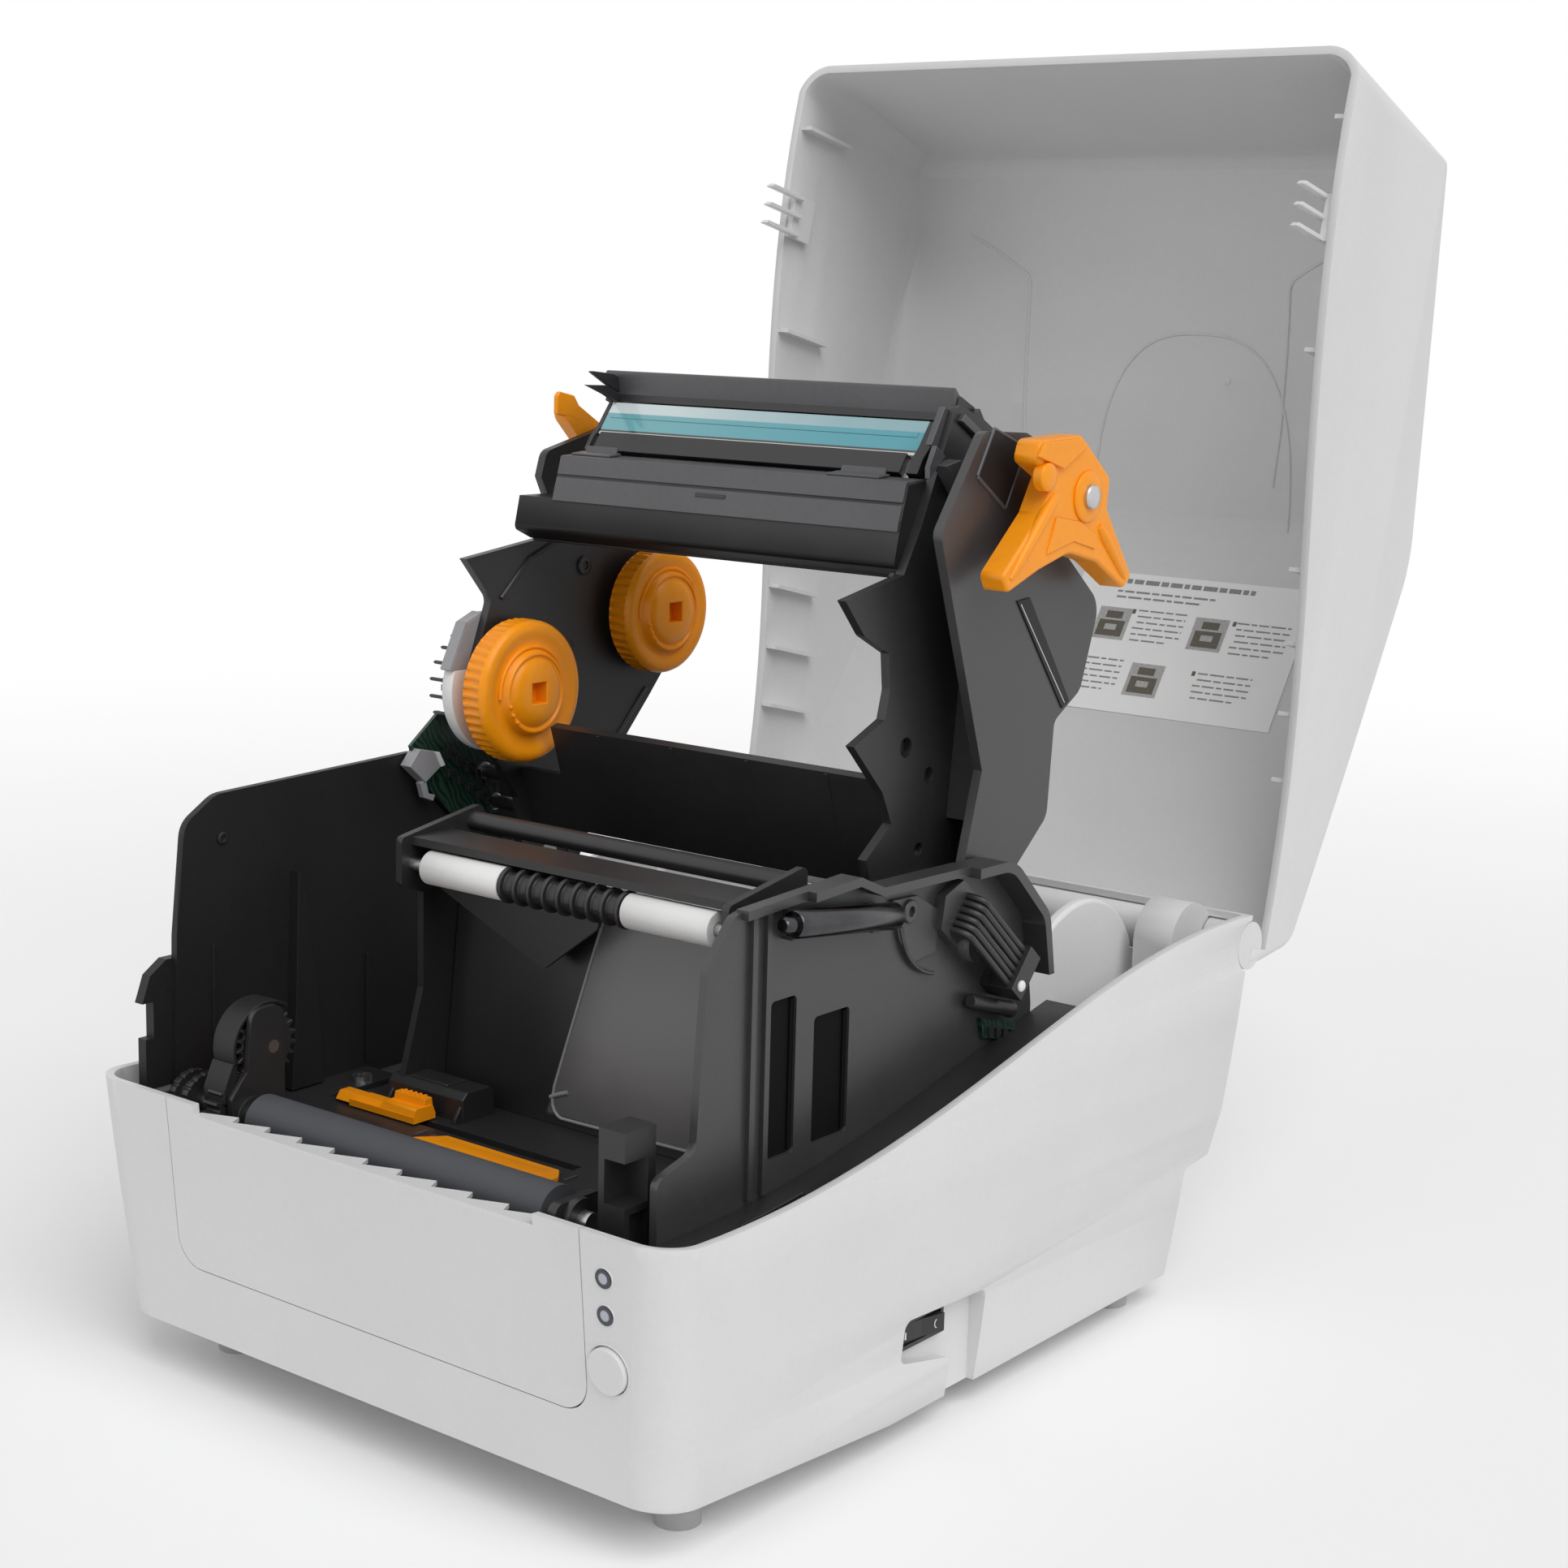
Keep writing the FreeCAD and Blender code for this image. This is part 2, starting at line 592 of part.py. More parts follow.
right_wall = plate_x([
    (-127, 72), (-127, 100, 3), (-112, 104, 4), (-110.5, 128), (-108.5, 152, 8), (-98, 164.4, 6),
    (-50, 166.8, 4), (-39, 162.2, 3), (21, 161, 14), (41, 142, 10), (46, 112), (46, 72),
], *RIGHT_WALL_X)
HOOD_X = 102.0
crest_lip = plate_x([
    (-95, 162.6), (-50, 164.8), (-39, 160.2), (4, 159.4), (4, 162), (-39, 162.8), (-50, 167.4),
    (-95, 165.2),
], RIGHT_WALL_X[0] + 0.5, RIGHT_WALL_X[1] + 2.1)
wide_lip = plate_x([
    (-70, 163.8), (-50, 164.8), (-39, 160.2), (4, 159.4), (4, 162), (-39, 162.8), (-50, 167.4),
    (-70, 166.4),
], RIGHT_WALL_X[0] + 0.5, RIGHT_WALL_X[1] + 5)
hood = plate_x([
    (3, 161.8), (21.4, 161.6, 14), (41.6, 142.2, 10), (45.2, 123), (42.4, 123), (38.7, 141, 8),
    (20, 158.6, 11.6), (3, 158.8),
], RIGHT_WALL_X[0] + 0.5, HOOD_X)
rib_x = (RIGHT_WALL_X[0] + 0.5, RIGHT_WALL_X[1] + 1.5)
ribs = [block(*rib_x, y, y + 2, 86, 163.4) for y in (-92, -86)]
right_wall = join(right_wall, crest_lip, wide_lip, hood, *ribs)
for y0, y1, top in ((-82, -71, 138), (-63, -47, 130)):
    window = [(y0, 94, 1.5), (y1, 94, 1.5), (y1, top, 1.5), (y0, top, 1.5)]
    right_wall = right_wall.cut(plate_x(window, 80, 110))
CABLE_START = (0.3, 148.6)
GROMMET_X = RIGHT_WALL_X[1] + 3.5
hexagon = [polar(CABLE_START, 9.6, 60 * i + 20) for i in range(6)]
right_wall = join(right_wall, plate_x(hexagon, RIGHT_WALL_X[1] - 0.5, GROMMET_X))
solids["right_wall"] = right_wall.cut(rod_x(PIVOT, PIVOT_RADIUS, 80, 110))

# Pivot pins of the print unit, fixed in the walls
right_pin = join(rod_x(PIVOT, PIVOT_RADIUS, 71.5, 95), rod_x(PIVOT, 6, 93.5, 95.5))
left_pin = join(rod_x(PIVOT, PIVOT_RADIUS, -100, -76.5), rod_x(PIVOT, 9, -100.5, -98))
solids["pivot_pins"] = Part.makeCompound([right_pin, left_pin])

# Latch post at the right front corner, and the stud of the roll holder's pinion
AXLE_RADIUS = 2.0
latch_post = block(77, 86, -131, -119, FLOOR_Z - 0.5, 112)
latch_post = latch_post.cut(block(79, 90, -135, -122, 92, 104))
latch_post = latch_post.cut(block(84, 90, -129, -122, 78, 90))
stud = rod_z(0, HOLDER_Y, AXLE_RADIUS, CHAMBER_Z - 0.5, CHAMBER_Z + 6)
solids["chassis_floor"] = join(floor, latch_post, stud)

# Beam frame over the print floor
UPRIGHT = [
    (-62, FLOOR_Z), (-62, 140), (-71, 143, 2), (-71, 158, 2), (-36, 164, 2), (-36, 155), (-41, 150),
    (-41, FLOOR_Z),
]
beam = join(
    plate_x(UPRIGHT[:-1] + [(-48, 120), (-50.5, FLOOR_Z)], *UPRIGHT_LEFT),
    plate_x(UPRIGHT[:-1] + [(-48, 120), (-50.5, FLOOR_Z)], *UPRIGHT_RIGHT),
    block(UPRIGHT_LEFT[0], UPRIGHT_RIGHT[1], -67, -50, 155.5, 158),
    plate_x([(-72.5, FLOOR_Z), (-62, 110), (-61, FLOOR_Z)], *UPRIGHT_LEFT),
)
GUIDE_SHAFT_RADIUS = 2.0
rear_bar = rod_x((-40, 159), 3, UPRIGHT_LEFT[1] - 0.5, UPRIGHT_RIGHT[0] + 0.5)
flap = plate_y([(-56, 141), (-12, 123, 2), (10, 139.5, 3), (6, 156), (-56, 156)], -57, -55.5)
solids["beam_frame"] = join(beam.cut(rod_x(GUIDE, GUIDE_SHAFT_RADIUS, -70, 80)), rear_bar, flap)
solids["guide_shaft"] = rod_x(GUIDE, GUIDE_SHAFT_RADIUS, UPRIGHT_LEFT[0], UPRIGHT_RIGHT[1])
guide_profile = [(-53.5, FLOOR_Z), (-51, FLOOR_Z), (-43.15, 148), (-45.65, 148)]
solids["media_guide"] = plate_x(guide_profile, UPRIGHT_LEFT[1] + 0.2, UPRIGHT_RIGHT[0] - 0.2)

# Guide roller: two white sleeves with a finned core between them
GUIDE_BORE = GUIDE_SHAFT_RADIUS + RUNNING


def on_guide(radius, x0, x1):
    return rod_x(GUIDE, radius, x0, x1).cut(rod_x(GUIDE, GUIDE_BORE, x0 - 1, x1 + 1))


solids["guide_sleeves"] = Part.makeCompound([on_guide(5.2, -50, -18), on_guide(5.2, 30, 62)])
core = on_guide(4.0, -18, 30)
for i in range(9):
    x = -17.5 + i * 5.7
    core = join(core, on_guide(5.6, x, x + 1.4))
solids["guide_core"] = core

# Platen with its shaft, end bushings, feed wheel and gear
half_platen = PLATEN_LENGTH / 2
rubber = rod_x(PLATEN, PLATEN_RADIUS, -half_platen, half_platen)
solids["platen_rubber"] = rubber.cut(rod_x(PLATEN, PLATEN_SHAFT_RADIUS, -100, 100))
solids["platen_shaft"] = rod_x(PLATEN, PLATEN_SHAFT_RADIUS, -92, 70)


def bushing(x0, x1, flange):
    body = join(rod_x(PLATEN, 4.5, x0, x1), rod_x(PLATEN, 6, *flange))
    return body.cut(rod_x(PLATEN, PLATEN_SHAFT_RADIUS + RUNNING, -100, 100))


tab = plate_x([(-126, 77), (-119, 81), (-108, 81, 1.5), (-108, 76, 1.5), (-119, 76)], 64, 66.5)
right_bushing = join(bushing(60.5, 66.5, (64, 66.5)), tab)
right_bushing = right_bushing.cut(rod_x(PLATEN, PLATEN_SHAFT_RADIUS + RUNNING, -100, 100))
left_bushing = bushing(-66, -62.5, (-64, -62.5))
solids["platen_bushings"] = Part.makeCompound([left_bushing, right_bushing])
BUSHING_HOLE = 4.5
right_bracket = plate_x([(-133, FLOOR_Z), (-133, 88, 3), (-115, 88, 3), (-113, FLOOR_Z)], 61, 64)
right_bracket = right_bracket.cut(rod_x(PLATEN, BUSHING_HOLE, 50, 80))

wheel_discs = [rod_x(PLATEN, 8.8, -91, -88.5), rod_x(PLATEN, 8.8, -85.5, -83)]
wheel = join(rod_x(PLATEN, 6.5, -89, -83.5), *wheel_discs)
for i in range(18):
    y, z = polar(PLATEN, 9.1, i * 20)
    wheel = wheel.cut(rod_x((y, z), 0.7, -95, -80))
wheel = wheel.cut(rod_x(PLATEN, PLATEN_SHAFT_RADIUS, -100, -80))

RIBBON_GEAR = polar(PLATEN, (PLATEN_TEETH + RIBBON_TEETH) * MODULE / 2, RIBBON_GEAR_ANGLE)
REDUCER = polar(PLATEN, (PLATEN_TEETH + REDUCER_TEETH) * MODULE / 2, REDUCER_ANGLE)
PINION = polar(REDUCER, (REDUCER_TEETH + PINION_TEETH) * MODULE / 2, PINION_ANGLE)


def meshed(turn, teeth, other_teeth, degrees):
    """Turn of the second gear so that its gap meets a tooth of the first."""
    line = math.radians(degrees)
    phase = (line - turn) * teeth / other_teeth
    return line + math.pi + phase + math.pi / other_teeth


ribbon_turn = meshed(0, PLATEN_TEETH, RIBBON_TEETH, RIBBON_GEAR_ANGLE)
reducer_turn = meshed(0, PLATEN_TEETH, REDUCER_TEETH, REDUCER_ANGLE)
pinion_turn = meshed(reducer_turn, REDUCER_TEETH, PINION_TEETH, PINION_ANGLE)
platen_gear = gear_shape(PLATEN_TEETH, PLATEN, *GEAR_X, PLATEN_SHAFT_RADIUS)
solids["platen_wheels"] = Part.makeCompound([platen_gear, wheel])
axle_bore = AXLE_RADIUS + RUNNING
solids["ribbon_gear"] = gear_shape(RIBBON_TEETH, RIBBON_GEAR, *GEAR_X, axle_bore, ribbon_turn)
solids["reduction_gear"] = gear_shape(REDUCER_TEETH, REDUCER, *GEAR_X, axle_bore, reducer_turn)
pinion = gear_shape(PINION_TEETH, PINION, *GEAR_X, AXLE_RADIUS / 2, pinion_turn)
solids["motor_pinion"] = join(pinion, rod_x(PINION, AXLE_RADIUS, GEAR_X[0], -50))
gear_bracket = plate_x([
    (-132, FLOOR_Z), (-132, 89, 2), (-126, 96), (-124, 114, 4), (-112, 114, 4), (-112, FLOOR_Z),
], -66, -64)
gear_bracket = gear_bracket.cut(rod_x(PLATEN, BUSHING_HOLE, -70, -60))
gear_bracket = gear_bracket.cut(rod_x(RIBBON_GEAR, AXLE_RADIUS, -70, -60))
solids["gear_axles"] = Part.makeCompound([
    join(rod_x(RIBBON_GEAR, AXLE_RADIUS, -74.2, -64), rod_x(RIBBON_GEAR, 3.2, -75, -73.5)),
    join(rod_x(REDUCER, AXLE_RADIUS, -74.2, -64), rod_x(REDUCER, 3.2, -75, -73.5)),
])
MOTOR = 17.5
motor_bracket = block(-66, -64, -126, PINION[0] + MOTOR, PINION[1] - MOTOR, FLOOR_Z - SHEET)
motor_bracket = motor_bracket.cut(rod_x(PINION, 6, -70, -60)).cut(rod_x(REDUCER, AXLE_RADIUS, -70, -60))
solids["drive_brackets"] = Part.makeCompound([gear_bracket, right_bracket, motor_bracket])
motor = block(-64, -34, PINION[0] - MOTOR, PINION[0] + MOTOR, PINION[1] - MOTOR, PINION[1] + MOTOR)
motor = rounded(motor, 3, lambda c, edge: edge.BoundBox.XLength > 20)
solids["motor"] = motor.cut(rod_x(PINION, axle_bore, -70, -50))

# Media sensor strip and its sliding knob
strip = [(-30, -99), (-30, -92.5), (-23, -84.6), (21, -84.9), (25.5, -90), (25.5, -99)]
solids["sensor_strip"] = plate_z(strip, FLOOR_Z, 75.9)
knob = join(
    block(-68, -40, -83, -74, FLOOR_Z + 0.5, 77),
    plate_x([(-83, 76.5), (-74, 76.5), (-75, 79.3, 0.8), (-82, 79.3, 0.8)], -54, -40),
    block(-60, -50, -80.2, -76.8, 68, 75.5),
)
solids["sensor_knob"] = knob


# Roll holder: two domed plates on racks either side of one pinion
def rack(y, facing):
    """Straight rack beside the pinion; its gaps sit opposite the pinion's teeth."""
    step = math.pi * MODULE
    tip = y + facing * (0.85 * MODULE)
    root = y - facing * (1.15 * MODULE)
    back = y - facing * 4.0
    points = [(-8, back), (-8, root)]
    for i in range(RACK_TEETH):
        middle = (i - 2 + 0.5) * step
        for edge, part in ((root, -0.30), (tip, -0.11), (tip, 0.11), (root, 0.30)):
            points.append((middle + part * step, edge))
    points += [(HOLDER_X[0] + 1, root), (HOLDER_X[0] + 1, back)]
    return plate_z(points, CHAMBER_Z + 0.5, CHAMBER_Z + 4.5)


PINION_PITCH = HOLDER_PINION_TEETH * MODULE / 2
dome = join(
    rod_x((HOLDER_Y, HOLDER_Z), HOLDER_RADIUS, *HOLDER_X),
    block(*HOLDER_X, HOLDER_Y - HOLDER_RADIUS, HOLDER_Y + HOLDER_RADIUS, CHAMBER_Z + 0.5, HOLDER_Z),
)
dome = rounded(dome, 1.4, lambda c, edge: edge.BoundBox.XLength < 0.1 and c.z > 70)
dome = dome.common(block(0, 120, 60, 127.5, 0, 160))
hub_boss = rod_x((HOLDER_Y, HOLDER_Z - 6), 9, HOLDER_X[0] - 7, HOLDER_X[0] + 0.5)
holder = join(dome, hub_boss)
far_rack = block(60, 90, HOLDER_Y + PINION_PITCH - 2.5, HOLDER_Y + PINION_PITCH + 5.5, 40, CHAMBER_Z + 6)
holder = join(holder.cut(far_rack), rack(HOLDER_Y - PINION_PITCH, 1))
solids["roll_holder_right"] = holder
left_holder = holder.copy()
left_holder.rotate(V(0, HOLDER_Y, 0), V(0, 0, 1), 180)
left_holder = left_holder.common(block(-120, 120, 60, 127.5, 0, 160))
solids["roll_holder_left"] = left_holder


def holder_pinion():
    teeth = gear_shape(HOLDER_PINION_TEETH, (0, 0), 0, 4, axle_bore)
    teeth.rotate(V(0, 0, 0), V(0, 1, 0), -90)
    teeth.translate(V(0, HOLDER_Y, CHAMBER_Z + 0.5))
    return teeth


solids["holder_pinion"] = holder_pinion()

# Print unit, drawn raised: side plates
left_plate = plate_x([
    (-24.5, 237.5), (-13, 224, 4), (-20, 205, 6), (-18, 182, 8), (0, 158), (3, 130, 9), (26, 128, 9),
    (51, 171, 6), (64, 185), (79, 202, 9), (79, 226, 10), (58, 238, 8), (55, 252), (57, 274, 6),
    (40, 277), (12, 270, 4), (9.5, 262), (18.8, 243.3),
], *PLATE_LEFT)
plate_bores = [(PIVOT, PIVOT_RADIUS), (LEVER_AXIS, LEVER_SHAFT_RADIUS)]
for axis, radius in plate_bores + [(HUB_1, HUB_SHAFT_RADIUS), (HUB_2, HUB_SHAFT_RADIUS)]:
    left_plate = left_plate.cut(rod_x(axis, radius + RUNNING, -90, -70))
standoffs = [rod_x((y, z), 2.2, -93, PLATE_LEFT[0] + 0.5) for y, z in ((0, 165), (5, 154))]
# Rear plate between the side plates, notched at the left for the supply hub
rear_plate = plate_x([(-4, 184), (-1, 185), (10, 150), (7, 149)], PLATE_LEFT[1] - 0.5, PLATE_RIGHT[0])
rear_plate = rear_plate.cut(block(PLATE_LEFT[1], -59.5, -10, 10, 168, 190))
solids["unit_left_plate"] = join(left_plate, rear_plate, *standoffs)

inner_plate = plate_x([
    (5.7, 257), (-2, 244), (-29.4, 238.6), (-20, 228, 3), (-8, 222), (-6.8, 211.3, 4), (-9, 203),
    (-23.5, 196.9), (-9, 182), (-4, 172), (-16, 163), (-12, 152), (3, 130, 9), (26, 128, 9),
    (40, 150, 6), (48, 200), (52, 240), (57, 254), (57, 276, 6), (36, 287, 4), (22, 292, 3),
], *PLATE_RIGHT)
for axis, radius in plate_bores:
    inner_plate = inner_plate.cut(rod_x(axis, radius + RUNNING, 60, 80))
for y, z, radius in ((2, 193.7, 3), (14, 184, 2.5), (10, 162.4, 2)):
    inner_plate = inner_plate.cut(rod_x((y, z), radius, 60, 80))
solids["unit_right_plate"] = inner_plate

outer_shell = plate_x([
    (14, 285, 4), (-6, 257, 4), (19.5, 186.6), (12, 160), (3, 132, 9), (26, 126, 9), (34, 150),
    (56, 168, 6), (58, 197, 4), (72, 205, 6), (81, 231, 8), (57, 250, 4), (57, 276, 6), (36, 284, 5),
], *SHELL_X)
rear_rim = plate_x([
    (30, 150), (56, 168, 6), (58, 197, 4), (72, 205, 6), (81, 231, 8), (57, 247), (56, 244),
    (77.5, 230, 6), (70, 207.5, 5), (55.5, 199.5, 4), (53.5, 169.5, 4), (28, 152.5),
], PLATE_RIGHT[1], SHELL_X[0] + 0.5)
web = plate_x([(24, 170), (27, 170), (34, 240), (31, 240)], PLATE_RIGHT[1], SHELL_X[0] + 0.5)
outer_shell = join(outer_shell, rear_rim, web)
for axis, radius in plate_bores:
    outer_shell = outer_shell.cut(rod_x(axis, radius + RUNNING, 70, 95))
solids["unit_right_shell"] = outer_shell

# Cross members of the print unit
HEAD_X = (-62.0, 62.0)
lower_beam = plate_x([
    (3, 269), (0, 259), (-3, 246, 2), (6, 242, 2), (14, 254), (13.5, 257.5), (11, 262), (13.5, 270),
], PLATE_LEFT[1], PLATE_RIGHT[0])
# Its left end is stepped so that it passes behind the ribbon gear
lower_beam = lower_beam.cut(block(PLATE_LEFT[0], -62.5, -20, 40, 256.5, 300))
back_beam = plate_x([
    (14, 254), (34, 255, 2), (48, 277, 2), (38, 290), (35.5, 288.5), (43.8, 277), (32.3, 258.5),
    (13.5, 257.5),
], HEAD_X[0] - 1, PLATE_RIGHT[0])
cover_profile = [(27.5, 286.5), (30, 294, 1), (38.3, 290.2), (35.3, 288.3), (31, 290.5), (29.3, 285.8)]
solids["unit_head_beam"] = join(lower_beam, back_beam, plate_x(cover_profile, -66, 70))

# Print head on the beam
solids["head_ceramic"] = join(
    head_plate(-7, 5, -1.2, 0, *HEAD_X),
    head_plate(-0.8, 0.8, -0.5, 0.2, HEAD_X[0] + 2, HEAD_X[1] - 2),
)
solids["head_heat_sink"] = head_plate(-14, 5, -8, -1.2, *HEAD_X)
solids["head_driver_cover"] = head_plate(-14, -7, -1.2, 1.4, HEAD_X[0] + 2, HEAD_X[1] - 2)


def head_spring(x):
    """Compression spring between the heat sink and the back of the beam."""
    height, radius, wire, turns = 8.0, 3.6, 0.5, 5
    path = Part.makeHelix((height - 2 * wire) / turns, height - 2 * wire, radius)
    ring = Part.Wire([Part.makeCircle(wire, V(radius, 0, 0), V(0, 1, 0.07))])
    coil = Part.Wire(path.Edges).makePipeShell([ring], True, True)
    coil.translate(V(0, 0, wire))
    coil.rotate(V(0, 0, 0), V(1, 0, 0), HEAD_ANGLE - 180)
    y, z = head_point(-6, -8.4)
    coil.translate(V(x, y, z))
    return coil


solids["head_springs"] = Part.makeCompound([head_spring(x) for x in (-38, 38)])


# Ribbon hubs
def ribbon_hub(axis, radius, teeth):
    face = -61.5
    hub = rod_x(axis, 12.5, -76.6, face)
    hub = rounded(hub, 3, lambda c, edge: c.x > face - 0.1)
    disc = rod_x(axis, radius, face - 5.5, face - 2)
    for i in range(teeth):
        y, z = polar(axis, radius + 0.3, i * 360 / teeth)
        disc = disc.cut(rod_x((y, z), 1.1, face - 8, face))
    hub = join(hub, disc)
    y, z = axis
    hub = hub.cut(block(face - 6, face + 1, y - 3.5, y + 3.5, z - 3.5, z + 3.5))
    return join(hub, rod_x(axis, HUB_SHAFT_RADIUS, -92, -70))


solids["ribbon_hub_supply"] = ribbon_hub(HUB_1, 23, 30)
solids["ribbon_hub_rewind"] = ribbon_hub(HUB_2, 21, 28)
CLUTCH_X = (-84.5, PLATE_LEFT[0])
CLUTCH_SPLIT_Z = 202.0
ring = rod_x(HUB_1, 21, *CLUTCH_X).cut(rod_x(HUB_1, 14, -95, -70))
solids["clutch_ring"] = ring.cut(block(-100, -70, -60, 40, CLUTCH_SPLIT_Z, 240))
clutch_top = plate_x([
    (-28, CLUTCH_SPLIT_Z), (-21, 216.5), (-14, 219.3), (-5.8, 219.5), (5, 215), (13, CLUTCH_SPLIT_Z),
], *CLUTCH_X)
clutch = join(clutch_top, rod_x(HUB_1, 13, -91.5, PLATE_LEFT[0]))
for i in range(10):
    y, z = polar(HUB_1, 13.5, i * 36)
    clutch = join(clutch, block(-91.5, CLUTCH_X[0] - 0.2, y - 1, y + 1, z - 1, z + 1))
solids["clutch_housing"] = clutch.cut(rod_x(HUB_1, HUB_SHAFT_RADIUS + RUNNING, -95, -70))
ribbon_board = [(-33, 177), (-20, 187), (8, 167), (8, 150), (-12, 150), (-28, 165)]
solids["ribbon_board"] = plate_x(ribbon_board, -94.3, -93)

# Release lever on its cross shaft
lever = plate_x([
    (22, 283, 3), (44, 284, 4), (61, 271, 3), (60, 262), (76, 241, 2), (71.5, 237.3, 2), (55, 246.5, 8),
    (40, 250, 12), (24, 246, 8), (8, 240.5, 2), (5, 245.5, 2), (24, 262, 4), (30, 272), (20, 277, 2),
], 96, 104)
lever = rounded(lever, 1.2, lambda c, edge: c.x > 103.9 and edge.BoundBox.XLength < 0.1)
lever = join(lever, rod_x(LEVER_AXIS, 6, 90.6, 97))
lever = lever.cut(rod_x(LEVER_AXIS, LEVER_SHAFT_RADIUS, 80, 110))
lever_screw = rod_x(LEVER_AXIS, 3.6, 104, 106)
solids["lever_shaft"] = join(rod_x(LEVER_AXIS, LEVER_SHAFT_RADIUS, -86, 104), lever_screw)
left_end = plate_x([(44, 261, 3), (53, 262, 3), (52, 272, 3), (28, 286, 3), (24, 281, 3)], -86, -81)
left_end = left_end.cut(rod_x(LEVER_AXIS, LEVER_SHAFT_RADIUS, -90, -80))
solids["release_lever"] = Part.makeCompound([lever, left_end])

# Cable bundle on the right wall
CABLE_SLOPE = math.radians(-41.0)
STRANDS = 6
STRAND_RADIUS = 1.1
STRAND_STEP = 2.3
STRAND_BEND = 4.0
STRAND_RUN = 25.0


def strand(number):
    aside = (number - (STRANDS - 1) / 2) * STRAND_STEP
    along = V(0, math.cos(CABLE_SLOPE), math.sin(CABLE_SLOPE))
    across = V(0, -along.z, along.y)
    start = V(GROMMET_X, CABLE_START[0], CABLE_START[1]) + across * aside
    turn_in = start + V(1.5, 0, 0)
    half = STRAND_BEND * math.sqrt(0.5)
    middle = turn_in + V(half, 0, 0) + along * (STRAND_BEND - half)
    turn_out = turn_in + V(STRAND_BEND, 0, 0) + along * STRAND_BEND
    edges = [Part.LineSegment(start, turn_in), Part.Arc(turn_in, middle, turn_out),
             Part.LineSegment(turn_out, turn_out + along * STRAND_RUN)]
    path = Part.Wire([edge.toShape() for edge in edges])
    ring = Part.Wire([Part.makeCircle(STRAND_RADIUS, start, V(1, 0, 0))])
    return path.makePipeShell([ring], True, True)


solids["cable_bundle"] = Part.makeCompound([strand(i) for i in range(STRANDS)])
plug_start = polar(CABLE_START, STRAND_BEND + STRAND_RUN, math.degrees(CABLE_SLOPE))


def plug():
    along = V(math.cos(CABLE_SLOPE), math.sin(CABLE_SLOPE), 0)
    across = V(-along.y, along.x, 0) * 7.5
    here = V(plug_start[0], plug_start[1], 0)
    spots = [here + across, here - across, here - across + along * 7, here + across + along * 7]
    return plate_x([(p.x, p.y) for p in spots], RIGHT_WALL_X[1], GROMMET_X + 8)


solids["cable_plug"] = plug()


# Place and write every piece
LID_NODES = ("lid_shell", "hinge_pins", "lid_latches", "lid_sticker")
for name, shape in solids.items():
    placed = shape.copy()
    if name in LID_NODES:
        placed.rotate(V(0, HINGE_Y, HINGE_Z), V(1, 0, 0), -LID_ANGLE)
    placed.translate(V(0, ORIGIN_SHIFT, 0))
    placed.exportStep("parts/" + name + ".step")
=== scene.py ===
import math

import bmesh
import bpy
from mathutils import Matrix, Vector


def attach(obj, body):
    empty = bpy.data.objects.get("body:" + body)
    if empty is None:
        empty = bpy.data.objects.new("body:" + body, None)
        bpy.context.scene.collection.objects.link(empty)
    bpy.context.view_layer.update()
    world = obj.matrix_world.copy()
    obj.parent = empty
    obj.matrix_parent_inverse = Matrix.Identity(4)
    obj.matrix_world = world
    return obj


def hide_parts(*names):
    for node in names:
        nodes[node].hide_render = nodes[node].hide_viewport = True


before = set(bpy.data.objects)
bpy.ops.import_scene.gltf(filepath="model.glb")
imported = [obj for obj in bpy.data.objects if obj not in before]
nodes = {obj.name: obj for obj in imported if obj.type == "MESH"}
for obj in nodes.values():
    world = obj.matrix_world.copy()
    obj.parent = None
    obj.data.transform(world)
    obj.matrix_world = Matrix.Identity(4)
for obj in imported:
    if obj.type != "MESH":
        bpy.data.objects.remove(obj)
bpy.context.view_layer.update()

# Pieces are placed in millimetres as on the drawing: X right, front at -Y, Z up from the table.
MM = 0.001
MM_IN_METRE = 1000
DRAWING_SHIFT = -60.0
HINGE = (147.7, 114.7)
LID_SWING = math.radians(102.83)
HEATER_LINE = (24.0, 282.0)
HEAD_LEAN = 54.0


def at(x, y, z):
    """A point of the drawing, in the metres of the frame."""
    return Vector((x, y + DRAWING_SHIFT, z)) * MM


def lid_at(x, y, z):
    """A point of the lid, given as the lid lies when it is shut."""
    dy, dz = y - HINGE[0], z - HINGE[1]
    c, s = math.cos(LID_SWING), math.sin(LID_SWING)
    return at(x, HINGE[0] + dy * c + dz * s, HINGE[1] - dy * s + dz * c)


class Value:
    """A shader socket that takes part in Python sums."""

    def __init__(self, graph, socket):
        self.graph = graph
        self.socket = socket

    def math(self, operation, *terms):
        return self.graph.node("Math", {"operation": operation}, dict(enumerate(terms)))

    def __add__(self, other):
        return self.math("ADD", self, other)

    __radd__ = __add__

    def __sub__(self, other):
        return self.math("SUBTRACT", self, other)

    def __rsub__(self, other):
        return self.math("SUBTRACT", other, self)

    def __mul__(self, other):
        return self.math("MULTIPLY", self, other)

    __rmul__ = __mul__

    def __mod__(self, other):
        return self.math("FLOORED_MODULO", self, other)

    def __abs__(self):
        return self.math("ABSOLUTE", self)

    def __gt__(self, other):
        return self.math("GREATER_THAN", self, other)

    def ramp(self, low, high):
        """0 up to low, 1 from high, with a smooth rise between."""
        inputs = {"Value": self, "From Min": low, "From Max": high}
        return self.graph.node("MapRange", {"interpolation_type": "SMOOTHSTEP"}, inputs)


